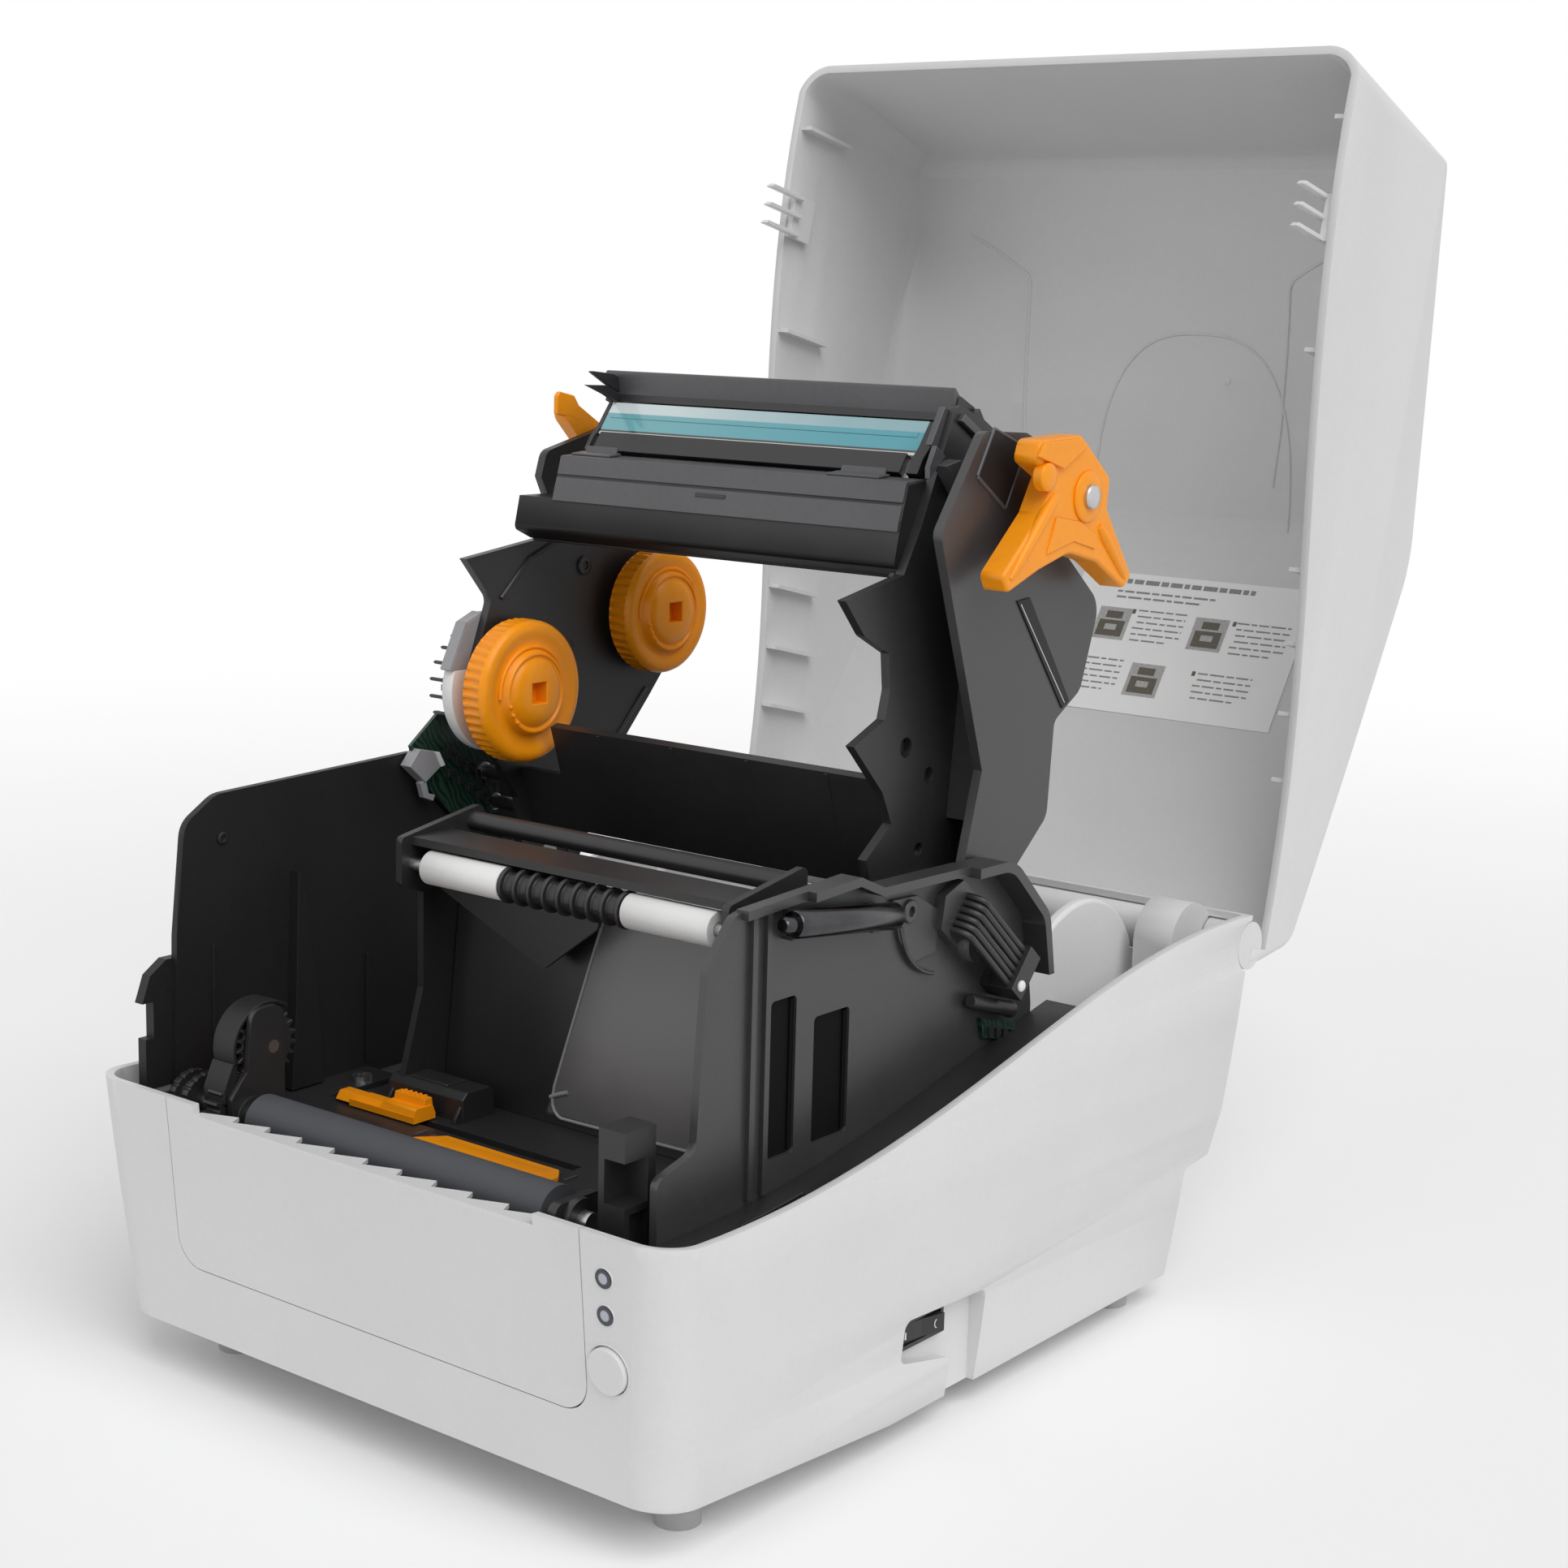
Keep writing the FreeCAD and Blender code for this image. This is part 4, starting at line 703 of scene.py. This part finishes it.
def cable_strands():
    """Six strands out of the grommet, round a short bend and down into the plug."""
    profile = [(104.6, 1.7), (105.5, 1.7), (105.9, 1.3), (106.0, 0.6)]
    cap = Piece().turned((21.9, 124.2), profile, 20).done("cable_plug_cap", "base", "white", 0)
    along = Vector((0, math.cos(STRAND_SLOPE), math.sin(STRAND_SLOPE)))
    across = Vector((0, -along.z, along.y))
    for number in range(STRAND_COUNT):
        start = Vector(GROMMET) + across * STRAND_STEP * (number - (STRAND_COUNT - 1) / 2)
        sway = 0.5 * math.sin(2.3 * number)
        corner = start + Vector((STRAND_OUT, 0, 0))
        near = corner + along * STRAND_BEND + Vector((sway, 0, 0))
        route = [start - Vector((STRAND_IN_GROMMET, 0, 0)), corner, near, corner + along * STRAND_REACH]
        curve = bpy.data.curves.new(f"cable_strand_{number}", "CURVE")
        curve.dimensions = "3D"
        curve.bevel_depth = STRAND_RADIUS * MM
        curve.bevel_resolution = 4
        spline = curve.splines.new("NURBS")
        spline.points.add(len(route) - 1)
        for point, spot in zip(spline.points, route):
            point.co = (*at(*spot), 1)
        spline.order_u = 3
        spline.use_endpoint_u = True
        spline.resolution_u = 16
        curve.materials.append(finishes["black"].material)
        strand = bpy.data.objects.new(f"cable_strand_{number}", curve)
        bpy.context.scene.collection.objects.link(strand)
        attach(strand, "base")
        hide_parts("cable_bundle")
        at(*route[0])


cable_strands()


# Print head and the beam that carries it
BEAM_X = (-76.5, 71.5)
BAND_LEFT = -62.2


def head_beam_dress():
    """Bands along the front of the beam in a paler grey that paints the highlight they catch, beads below
    them, and the plates and mark on it.
    """
    bands = Piece()
    upper = [(3.3, 269.2), (1.6, 263.9), (0.9, 264.1), (2.5, 269.7)]
    lower = [(1.4, 263.1), (0.1, 258.9), (-0.7, 255.6), (-1.4, 255.9), (-0.6, 259.1), (0.7, 263.3)]
    shelf = [(2.6, 268.4), (12.6, 269.4), (12.6, 270.3), (2.6, 269.9)]
    for outline in (upper, lower, shelf):
        bands.prism(outline, BAND_LEFT, BEAM_X[1])
    # Paler grey: painted highlight on the beam's bands
    bands.done("beam_bands", "print_unit", "graphite", 0.25)
    lip = Piece()
    for y, z, radius in ((-2.2, 246.9, 0.4), (5.6, 242.4, 0.6)):
        lip.bead([(x, y, z) for x in BEAM_X], radius, 12)
    lip.done("beam_underside", "print_unit", "matt", 0.15)
    plates = Piece()
    for x0, x1 in ((-60, -44), (41, 60)):
        plates.prism([(5.0, 270.0), (10.6, 270.5), (10.6, 271.2), (5.0, 270.7)], x0, x1)
        plates.prism([(9.6, 270.4), (10.6, 270.5), (11.4, 272.6), (10.6, 272.9)], x0 + 1.5, x1 - 1.5)
    plates.done("beam_slot_plates", "print_unit", "graphite", 0.2)
    mark = Piece()
    mark.prism([(0.75, 261.9), (0.45, 260.7), (-0.35, 260.9), (-0.05, 262.1)], -4.5, 7)
    mark.done("beam_mark", "print_unit", "black", 0.1)


def head_cover_dress():
    """Lip of the head cover in a paler grey that paints its sheen, its two prongs, the blocks at the head's
    ends and the strip along its edge.
    """
    lip = Piece()
    outline = [(28.4, 287.6), (27.4, 295.0), (27.7, 296.0), (28.6, 296.2), (31.4, 293.4), (30.2, 289.0)]
    lip.prism(outline, -66, 69.6)
    # Paler grey: painted sheen along the cover's top edge
    lip.done("head_cover_lip", "print_unit", "graphite", 0.3)
    prongs = Piece()
    upper = [(14.6, 295.9), (15.6, 296.1), (25.4, 295.2), (30.4, 292.8), (29.6, 288.8), (24.6, 290.6)]
    prongs.prism(upper, -62.3, -60.4)
    lower = [(12.4, 291.8), (21.0, 291.6), (25.0, 290.4), (30.0, 287.4), (28.6, 285.2), (20.8, 288.8)]
    prongs.prism(lower, -62.1, -60.2)
    prongs.done("head_cover_prongs", "print_unit", "black", 0.3)
    ends = Piece()
    outline = [head_at(a, b) for a, b in ((-14, 1.2), (-9, 1.4), (-4, 0.4), (5, 0.3), (5, -7), (-14, -7))]
    for x0, x1 in ((-63.7, -62.2), (62.2, 66.4)):
        ends.prism(outline, x0, x1)
    ends.done("head_end_blocks", "print_unit", "black", 0.4)
    strip = Piece()
    strip.prism([head_at(a, b) for a, b in ((-7.2, 1.2), (-6.6, 0.5), (-6.9, 0.1), (-7.6, 1.0))], -59.5, 58.5)
    strip.done("head_edge_strip", "print_unit", "steel", 0)


def right_end_bracket():
    """Stepped bracket between the two right-hand plates, and the dark inlays of the outer shell."""
    wings = Piece()
    wings.prism([(19.4, 291.0), (23.4, 289.4), (16.7, 279.4), (12.9, 280.1)], 70.2, 72.4)
    wings.prism([(9.8, 280.4), (14.6, 277.1), (6.8, 270.8), (6.6, 274.2)], 74.8, 76.6)
    wings.prism([(10.3, 274.7), (18.2, 276.2), (27.6, 268.1), (20.4, 264.4)], 74.8, 79.6)
    wings.prism([(24.0, 289.0), (33, 284.0), (33, 281), (22, 287)], 74.8, 76.6)
    wings.done("right_bracket_wings", "print_unit", "graphite", 0.3)
    dark = Piece()
    lozenge = [(18.4, 285.6), (35.4, 279.6), (25.8, 262.6), (10.7, 272.4)]
    rim_x = 90.1
    dark.prism(lozenge, 89.8, 90.4)
    dark.prism([(34, 235.2), (40.8, 235.8), (65.4, 202.5), (61.5, 200.5)], 89.8, 90.5)
    dark.done("shell_inlays", "print_unit", "matt", 0.15)
    rim = Piece()
    for start, end in zip(lozenge, lozenge[1:] + lozenge[:1]):
        rim.rod((rim_x, *start), (rim_x, *end), [(0, 0.3), (0.02, 0.6), (0.98, 0.6), (1, 0.3)], 12)
    rim.done("shell_inlay_rim", "print_unit", "graphite", 0)
    bar = Piece()
    bar.bead([(rim_x, 36, 234.2), (rim_x, 62.6, 202.2)], 0.45, 10)
    bar.done("shell_bar_edge", "print_unit", "steel", 0)


LEFT_PLATE_X = -77
RIGHT_PLATE_X = 72


def unit_plate_ribs():
    """Shallow ribs and bosses on the two side plates and the rear plate."""
    rib = 0.9
    left = Piece()
    for line in (((-9, 224), (4, 236), (22, 243)), ((24, 136), (47, 172), (62, 188))):
        left.bead([(LEFT_PLATE_X, y, z) for y, z in line], rib, 10)
    for y, z in ((22, 205), (30, 232), (20, 160)):
        left.turned((y, z), [(-77.4, 3.2), (-76.2, 3.2), (-75.9, 2.8), (-75.9, 1.4), (-76.6, 1.3)], 24)
    left.done("left_plate_ribs", "print_unit", "black", 0.15)
    right = Piece()
    for line in (((-4, 244), (8, 232), (8, 205), (22, 176), (24, 150)), ((36, 250), (32, 200), (28, 156))):
        right.bead([(RIGHT_PLATE_X, y, z) for y, z in line], rib, 10)
    right.block(70.8, 72.2, 16, 22, 186, 192)
    right.turned((14, 184), [(72.2, 3.6), (71.0, 3.6), (70.7, 3.2), (70.7, 2.6), (72.4, 2.6)], 24)
    right.turned((2, 193.7), [(72.2, 4.0), (71.2, 4.0), (70.9, 3.6), (70.9, 3.05), (72.4, 3.05)], 24)
    right.done("right_plate_ribs", "print_unit", "black", 0.15)
    rear = Piece()
    for x in (-40, -10, 20, 50):
        rear.prism([(-4.2, 183.5), (-2.6, 183.8), (8.2, 151.4), (6.6, 150.6)], x, x + 1.4)
    rear.done("rear_plate_ribs", "print_unit", "black", 0.2)


head_beam_dress()
head_cover_dress()
right_end_bracket()
unit_plate_ribs()


# Release lever
LEVER_AXIS = (48.0, 266.0)


def lever_dress():
    """Raised pads, ring and stiffeners on the lever's face, its left end and its screw."""
    face = 103.9
    arm = face - 0.2
    raised = Piece()
    raised.prism([(19.6, 278.4), (22.4, 282.4), (41, 283.2), (45, 280.6), (33, 274.6)], face, face + 1.5)
    knob = [(face - 2, 4.2), (face + 1.0, 4.2), (face + 1.7, 3.4), (face + 1.9, 2.0)]
    raised.turned((25.2, 272.6), knob, 28)
    raised.turned(LEVER_AXIS, [(face, 7.6), (face + 0.7, 7.6), (face + 1.1, 7.0), (face + 1.1, 4.0)], 36)
    raised.rod((arm, 31, 267.5), (arm, 8.8, 244.4), [(0, 0.9), (0.1, 2.0), (0.8, 1.6), (1, 0.8)], 16)
    raised.rod((arm, 55.5, 257), (arm, 71.8, 240.4), [(0, 1.2), (0.15, 2.1), (0.85, 1.5), (1, 0.7)], 16)
    raised.prism([(31, 261), (44, 259), (54, 254.6), (53, 250.4), (41, 253.4), (27, 250.4)], face, face + 0.7)
    raised.done("lever_relief", "lever", "orange", 0.35)
    pad = Piece()
    shared = [(31.4, 284.4), (32.6, 278.0), (28.4, 280.2)]
    thin = [(20.8, 281.2), (20.8, 287.4), (22.2, 288.8), (29.2, 287.4)] + shared
    pad.prism(thin, -82.7, -80.9)
    thick = [(27.4, 282.4), (28.2, 284.6), (30.6, 285.2)] + shared
    pad.prism(thick, -87.2, -82.5)
    pad.done("lever_left_pad", "lever", "orange", 0.6)
    dome = Piece()
    profile = [(105.9, 3.6), (106.5, 3.3), (106.9, 2.4), (107.1, 1.2)]
    dome.turned(LEVER_AXIS, profile, 24)
    dome.done("lever_screw_dome", "lever", "steel", 0)


lever_dress()


# Left inner wall, gear guard, media guide and the sensor's block and knob
RIBBON_GEAR = polar((-125.0, 82.6), 21.0, 65.0)
LEFT_WALL_FACE = -95.6
DECK_TOP = 74.2


def left_wall_ribs():
    """A fin, two low ribs and a small bored boss."""
    ribs = Piece()
    fin = [(-81.5, 144), (-79.8, 143), (-73.4, 98), (-72, 75), (-85, 75), (-83, 100)]
    ribs.prism(fin, LEFT_WALL_FACE, -91.5)
    for y, top in ((-112, 126), (-50, 112)):
        ribs.prism([(y - 0.9, 76), (y + 0.9, 76), (y + 0.5, top), (y - 0.5, top)], LEFT_WALL_FACE, -94.9)
    boss = [(LEFT_WALL_FACE, 2.0), (-94.9, 2.0), (-94.6, 1.6), (-94.6, 0.9), (-95.2, 0.8)]
    ribs.turned((-108, 158), boss, 20)
    ribs.done("left_wall_ribs", "base", "matt", 0.2)


def gear_cover():
    """Half-round guard over the ribbon gear, with a web down to the floor."""
    cover = Piece()
    arc = [55 + 9 * i for i in range(17)]
    for x0, x1, inner in ((-74.6, -66.2, 12.1), (-75.4, -74.4, 8.0)):
        outside = [polar(RIBBON_GEAR, 13.3, a) for a in arc]
        inside = [polar(RIBBON_GEAR, inner, a) for a in reversed(arc)]
        cover.prism(outside + inside, x0, x1)
    cover.prism([(-129.6, 98.6), (-127.6, 98.6), (-129.4, 87), (-133, 87), (-133, 91)], -75.4, -66.2)
    # Shaded black: painted shade on the guard
    cover.done("gear_guard", "base", "matt", 0.3)


def knob_block():
    """Ribbed block behind the sensor knob, and the scale in front of it."""
    block = Piece()
    side = [(-71.5, DECK_TOP), (-71.5, 81.5), (-69.5, 83.6), (-60, 83.6), (-58, 81.5), (-58, DECK_TOP)]
    block.prism(side, -63, -31)
    for x in (-62, -48, -33):
        block.prism([(-71.2, DECK_TOP), (-71.2, 80), (-74, 76), (-74, DECK_TOP)], x, x + 1.4)
    block.block(-56, -40, -69, -61, 83.4, 84.2)
    block.done("sensor_block", "base", "black", 0.4)
    scale = Piece()
    for i in range(13):
        x = -34 + 5 * i
        scale.block(x, x + 0.6, -88.6, -84.6 if i % 2 else -83.4, 74.4, 74.9)
    scale.done("sensor_scale_ticks", "base", "graphite", 0)


def knob_grip():
    """Ridged grip and tongue of the sensor knob, and the ridge of the strip beside it."""
    grip = Piece()
    grip.prism([(-78.5, 78.6), (-74.4, 78.6), (-74.8, 81.6), (-77.8, 81.6)], -53.5, -40.5)
    for i in range(5):
        step = 2.1 * i
        grip.block(-51.5 + step, -50.6 + step, -77.6, -75.0, 81.4, 82.1)
    grip.prism([(-82.4, 75.4), (-74.6, 75.4), (-76.5, 78.0), (-80.5, 78.0)], -75, -53.5)
    grip.done("sensor_knob_grip", "sensor_slider", "orange", 0.3)
    wedge = Piece()
    wedge.prism([(-97, 75.7), (-87, 75.7), (-88, 76.0), (-96, 76.0)], -22, 21)
    wedge.done("sensor_strip_ridge", "base", "orange", 0.1)


GUIDE_FACE_FOOT = (-53.6, 74.5)
GUIDE_FACE_LEAN = 0.1068


def guide_edge_highlight():
    """Raised edge of the guide panel, turning in along its foot, in a pale grey that paints the highlight
    along it, and a short bead near its foot.
    """
    edge = Piece()

    def face(x, z):
        return x, GUIDE_FACE_FOOT[0] + (z - GUIDE_FACE_FOOT[1]) * GUIDE_FACE_LEAN, z

    heights = (146, 130, 114, 98, 86)
    slant = [(GUIDE_EDGE_FOOT + GUIDE_EDGE_SLOPE * (z - GUIDE_EDGE_LEVEL), z) for z in heights]
    corner = [polar((-6.6, 82.0), 5.2, a) for a in (182, 200, 220, 240, 258)]
    foot = [(x, 77.0 + 0.02 * x) for x in (0, 14, 30, 50)]
    # Pale grey bead: painted highlight along the edge
    edge.bead([face(*spot) for spot in slant + corner + foot], 0.5, 10)
    edge.bead([face(-12.6, 82.5), face(-9.2, 84.0), face(-5.8, 85.2)], 0.7, 10)
    edge.done("guide_edge_highlight", "base", "grey", 0)


left_wall_ribs()
guide_edge_highlight()
gear_cover()
knob_block()
knob_grip()


# Lid
CREST = Vector((8.0, 197.7))
FRONT_RUN = Vector((-139.2, -29.5)).normalized()
REAR_RUN = Vector((135.7, -53.5)).normalized()
LID_SIDE = 111.25
LID_WIDEST = 115.0
LID_BULGE = 1620.0
INWARD = {"front": Vector((-FRONT_RUN.y, FRONT_RUN.x)), "rear": Vector((REAR_RUN.y, -REAR_RUN.x))}


def on_lid(slope, x, down, lift):
    """A point inside the shut lid: down a slope from its crest and lifted off it."""
    run = FRONT_RUN if slope == "front" else REAR_RUN
    spot = CREST + run * down + INWARD[slope] * lift
    return lid_at(x, spot.x, spot.y)


def lid_piece(slope):
    """A piece whose points are given on a slope of the lid."""
    return Piece(lambda x, down, lift: on_lid(slope, x, down, lift))


# Soft corner: where it starts and ends down the slope, how far it takes to rise and to fade, and its size
CORNER_ENDS = (23, 117)
CORNER_RISE = 26
CORNER_FADE = 52
CORNER_DEPTH = 17.0
CORNER_WIDTH = 55.0
CORNER_SINK = 0.3
CORNER_RINGS = 25
CORNER_STEPS = 12


def corner_ring(side, down):
    """One section of a soft corner, and the point of the ridge along its inner edge."""
    share = min(1.0, (down - CORNER_ENDS[0]) / CORNER_RISE, (CORNER_ENDS[1] - down) / CORNER_FADE)
    depth = CORNER_DEPTH * share * share * (3 - 2 * share)
    upper_edge = CREST + FRONT_RUN * down + INWARD["front"] * (depth - CORNER_SINK)
    wall = LID_SIDE - (upper_edge.y - LID_WIDEST) ** 2 / LID_BULGE
    width = CORNER_WIDTH * min(1.0, (CORNER_ENDS[1] + 3 - down) / 22) ** 0.6
    ring = []
    for k in range(CORNER_STEPS + 1):
        turn = math.radians(90 / CORNER_STEPS * k)
        x = wall - width + width * math.sin(turn)
        lift = depth * (1 - math.cos(turn)) ** 0.85 - CORNER_SINK
        ring.append(on_lid("front", side * x, down, lift))
    foot = min(depth - CORNER_SINK, -CORNER_SINK) - 0.5
    ring.append(on_lid("front", side * (wall + 0.4), down, foot))
    return ring, (side * (wall - width + 1.2), down, -0.1)


def lid_fillets():
    """Wide soft corners between the lid's sides and its front slope, with a ridge along their inner edges."""
    for side, name in ((-1, "left"), (1, "right")):
        sections = [corner_ring(side, 24 + 3.75 * i) for i in range(CORNER_RINGS)]
        corner = lid_piece("front").loft([ring for ring, _ in sections])
        corner.bead([spot for _, spot in sections], 0.7, 10)
        corner.done(f"lid_soft_corner_{name}", "lid", "case", 0)


def lid_arch():
    """Raised arch line on the front slope, with a small gate mark."""
    middle, half, start, rise, square = 19.5, 41.5, 8.0, 70.5, 2 / 2.7
    spots = []
    for i in range(41):
        turn = math.pi * i / 40
        x = middle - half * math.copysign(abs(math.cos(turn)) ** square, math.cos(turn))
        spots.append((x, start + rise * math.sin(turn) ** square, 0.0))
    piece = lid_piece("front")
    piece.bead(spots, 0.55, 10)
    gate = (32.3, 61.6)
    piece.rod((*gate, -0.4), (*gate, 0.4), [(0, 1.5), (0.8, 1.5), (1, 1.1)], 16)
    piece.done("lid_arch_line", "lid", "case", 0)


INK_FOOT = 0.3
INK_TOPS = (0.46, 0.50, 0.54)


def lid_sticker_print():
    """Rows of grey bars, and three plain pictures of an open tray and a roll."""
    ink, dark, pale = [lid_piece("rear") for _ in range(3)]

    def bar(piece, x0, x1, d0, d1, layer=0):
        top = INK_TOPS[layer]
        outline = ((d0, INK_FOOT), (d1, INK_FOOT), (d1, top), (d0, top))
        piece.loft([[piece.place(x, down, lift) for down, lift in outline] for x in (x0, x1)])

    def lines(x0, x1, first, count, seed, step=2.5, thick=0.62):
        """Rows of bars as long as words, each row starting a little further in or out."""
        for row in range(count):
            x = x0 + 0.4 * (seed + row) % 1.5
            word = seed + row
            end = x1 - (5.0 if row == count - 1 else 0.0)
            down = first + row * step
            while x < end:
                reach = min(end, x + 2.2 + (word * 7 % 5) * 0.9)
                bar(ink, x, reach, down, down + thick)
                x = reach + 0.9
                word += 1

    lines(-10, 60, 16.5, 1, 3, thick=1.9)
    lines(-2, 40, 21.5, 2, 5, 2.4, 0.8)
    for x, down in ((-6, 29), (35, 29.5), (16, 51)):
        bar(pale, x, x + 14, down, down + 13.5)
        bar(dark, x + 1.5, x + 12.5, down + 5.5, down + 12.2, 1)
        bar(dark, x + 3.5, x + 10.5, down + 1.6, down + 4.6, 1)
        bar(pale, x + 4.5, x + 9.5, down + 7.2, down + 9.6, 2)
    lines(10, 31, 29, 6, 1)
    lines(52, 74, 30, 6, 4)
    lines(-15, 12, 50.5, 6, 2)
    lines(43, 66, 52, 5, 6)
    for x, down in ((7.5, 29), (50, 29.8), (41, 51.6)):
        bar(dark, x + 0.4, x + 1.8, down, down + 1.9)
    ink.done("sticker_lines", "lid", "ink", 0)
    dark.done("sticker_pictures", "lid", "picture", 0)
    pale.done("sticker_picture_grounds", "lid", "picture_pale", 0)


lid_fillets()
lid_arch()
lid_sticker_print()


# Switch marks and front face
def switch_marks():
    """A bar and a ring on the two halves of the rocker."""
    marks = Piece()
    marks.prism([(-32.6, 33.6), (-32.0, 33.6), (-32.0, 31.4), (-32.6, 31.4)], 105.0, 106.05)
    ring = [(107.75,) + polar((-19.2, 33.0), 1.3, 30 * i) for i in range(13)]
    marks.bead(ring, 0.16, 6)
    marks.done("switch_marks", "rocker", "white", 0)


FRONT_TOP = (-145.0, 90.2)
FRONT_SET_BACK = 6.5
FRONT_HEIGHT = 73.7
LIGHT_RADIUS = 2.6
BUTTON = (53.5, 6.7)
BEZEL_STEPS = 32


def front_rings():
    """Thin bezels round the two lights and the button."""
    tilt = math.atan2(FRONT_SET_BACK, FRONT_HEIGHT)
    inward = Vector((0, math.cos(tilt), math.sin(tilt)))
    side = Vector((1, 0, 0))
    up = side.cross(inward)
    bezels = Piece()
    for z, reach in [(z, LIGHT_RADIUS) for z in LIGHT_HEIGHTS] + [BUTTON]:
        face = Vector((LIGHT_X, FRONT_TOP[0] + (FRONT_TOP[1] - z) * FRONT_SET_BACK / FRONT_HEIGHT, z))
        spots = []
        for i in range(BEZEL_STEPS + 1):
            a = 2 * math.pi * i / BEZEL_STEPS
            spots.append(face + (side * math.cos(a) + up * math.sin(a)) * (reach + 0.25))
        bezels.bead(spots, 0.28, 8)
    bezels.done("front_bezels", "base", "case", 0)


switch_marks()
front_rings()


# Metal in the rear sockets
SERIAL_MIDDLE = (3.5, 23.5)
USB_MIDDLE = (46.0, 22.5)
INLET_MIDDLE = (-48.0, 28.25)
TONGUE_Y = (106.0, 117.7)
NUT_ASIDE = 19.5
BLADE_ASIDE = 8.6
BLADE_HALF = 2.2


def socket_contacts():
    """Contact strips on the tongues of the data sockets, and the nuts beside the wide one."""
    strips = Piece()
    for (x, z), count, step, lift in ((SERIAL_MIDDLE, 9, 2.3, 2.4), (USB_MIDDLE, 2, 2.4, 1.9)):
        for i in range(count):
            middle = x + step * (i - (count - 1) / 2)
            strips.block(middle - 0.5, middle + 0.5, *TONGUE_Y, z + lift, z + lift + 0.3)
    x, z = SERIAL_MIDDLE
    for side in (-NUT_ASIDE, NUT_ASIDE):
        strips.rod((x + side, 114.4, z), (x + side, 118.6, z), [(0, 2.5), (0.85, 2.5), (1, 2.0)], 6)
        strips.rod((x + side, 118.4, z), (x + side, 119.4, z), [(0, 1.5), (0.7, 1.5), (1, 1.2)], 16)
    strips.done("socket_contacts", "base", "steel", 0)


def inlet_blades():
    """Two flat blades beside the tongue of the power inlet, thinned towards their tips."""
    blades = Piece()
    x, z = INLET_MIDDLE
    lower = [(105.6, z - BLADE_HALF), (115.0, z - BLADE_HALF), (116.4, z - 1.4)]
    upper = [(116.4, z + 1.4), (115.0, z + BLADE_HALF), (105.6, z + BLADE_HALF)]
    outline = lower + upper
    for side in (-BLADE_ASIDE, BLADE_ASIDE):
        blades.prism(outline, x + side - 0.6, x + side + 0.6)
    blades.done("inlet_blades", "base", "steel", 0.2)


socket_contacts()
inlet_blades()


# Camera, as the photograph was taken
VIEW_AZIMUTH = math.radians(37.767)
VIEW_ELEVATION = math.radians(10.67)
VIEW_ROLL = math.radians(1.493)
VIEW_SPOT = (501.349, -605.437, 321.746)
VIEW_LENS = 59.725
VIEW_FILM = 36.0


def set_camera():
    """Camera that sees the part from the photograph's side and distance."""
    a, e, r = VIEW_AZIMUTH, VIEW_ELEVATION, VIEW_ROLL
    back = Vector((math.sin(a) * math.cos(e), -math.cos(a) * math.cos(e), math.sin(e)))
    level = Vector((math.cos(a), math.sin(a), 0))
    rise = back.cross(level)
    right = level * math.cos(r) + rise * math.sin(r)
    up = rise * math.cos(r) - level * math.sin(r)
    data = bpy.data.cameras.new("view")
    data.lens = VIEW_LENS
    data.sensor_width = VIEW_FILM
    data.clip_start = 0.01
    camera = bpy.data.objects.new("view", data)
    turn = Matrix((right, up, back)).transposed().to_4x4()
    camera.matrix_world = Matrix.Translation(at(*VIEW_SPOT)) @ turn
    bpy.context.scene.collection.objects.link(camera)
    bpy.context.scene.camera = camera


set_camera()


# Studio
ROOM_LIGHT = 0.45
FLOOR_REACH = 30.0
FLOOR_FADE = (450, 1500)


def wide_lamp(name, from_point, power, spread):
    """Distant lamp as wide as a studio ceiling panel, so that the floor is lit evenly."""
    data = bpy.data.lights.new(name, "SUN")
    data.energy = power
    data.angle = math.radians(spread)
    lamp = bpy.data.objects.new(name, data)
    lamp.rotation_mode = "QUATERNION"
    lamp.rotation_quaternion = Vector(from_point).to_track_quat("Z", "Y")
    bpy.context.scene.collection.objects.link(lamp)


wide_lamp("key", (0.80, -0.32, 1.0), 1.70, 50)
wide_lamp("fill", (-0.5, -1.0, 0.45), 0.30, 70)


def white_room():
    """White to look at and in reflections, and a softer light for everything else."""
    world = bpy.data.worlds.new("white_room")
    bpy.context.scene.world = world
    world.use_nodes = True
    room = Graph(world.node_tree, "Background")
    camera = room.node("LightPath", out="Is Camera Ray")
    glossy = room.node("LightPath", out="Is Glossy Ray")
    through = room.node("LightPath", out="Is Transmission Ray")
    seen = (camera + glossy + through) > 0.5
    room.put("Color", (1, 1, 1, 1))
    room.put("Strength", ROOM_LIGHT + (1 - ROOM_LIGHT) * seen)


white_room()


def studio_floor():
    """Pale paper floor that fades out far from the part."""
    mesh = bpy.data.meshes.new("studio_floor")
    corners = [(x * FLOOR_REACH, y * FLOOR_REACH, 0) for x, y in ((-1, -1), (1, -1), (1, 1), (-1, 1))]
    mesh.from_pydata(corners, [], [(0, 1, 2, 3)])
    floor = bpy.data.objects.new("studio_floor", mesh)
    bpy.context.scene.collection.objects.link(floor)
    finish = Finish("studio_paper", {"Specular IOR Level": 0.0})
    finish.put("Base Color", finish.tint(finish.noise(60), shade((1, 1, 1), 0.955), shade((1, 1, 1), 0.97)))
    finish.put("Roughness", 1.0)
    x, y, _ = finish.xyz()
    square = x * x + y * y
    finish.put("Alpha", 1 - square.math("SQRT", square).ramp(*FLOOR_FADE))
    mesh.materials.append(finish.material)


studio_floor()
bpy.context.scene.view_settings.view_transform = "Standard"
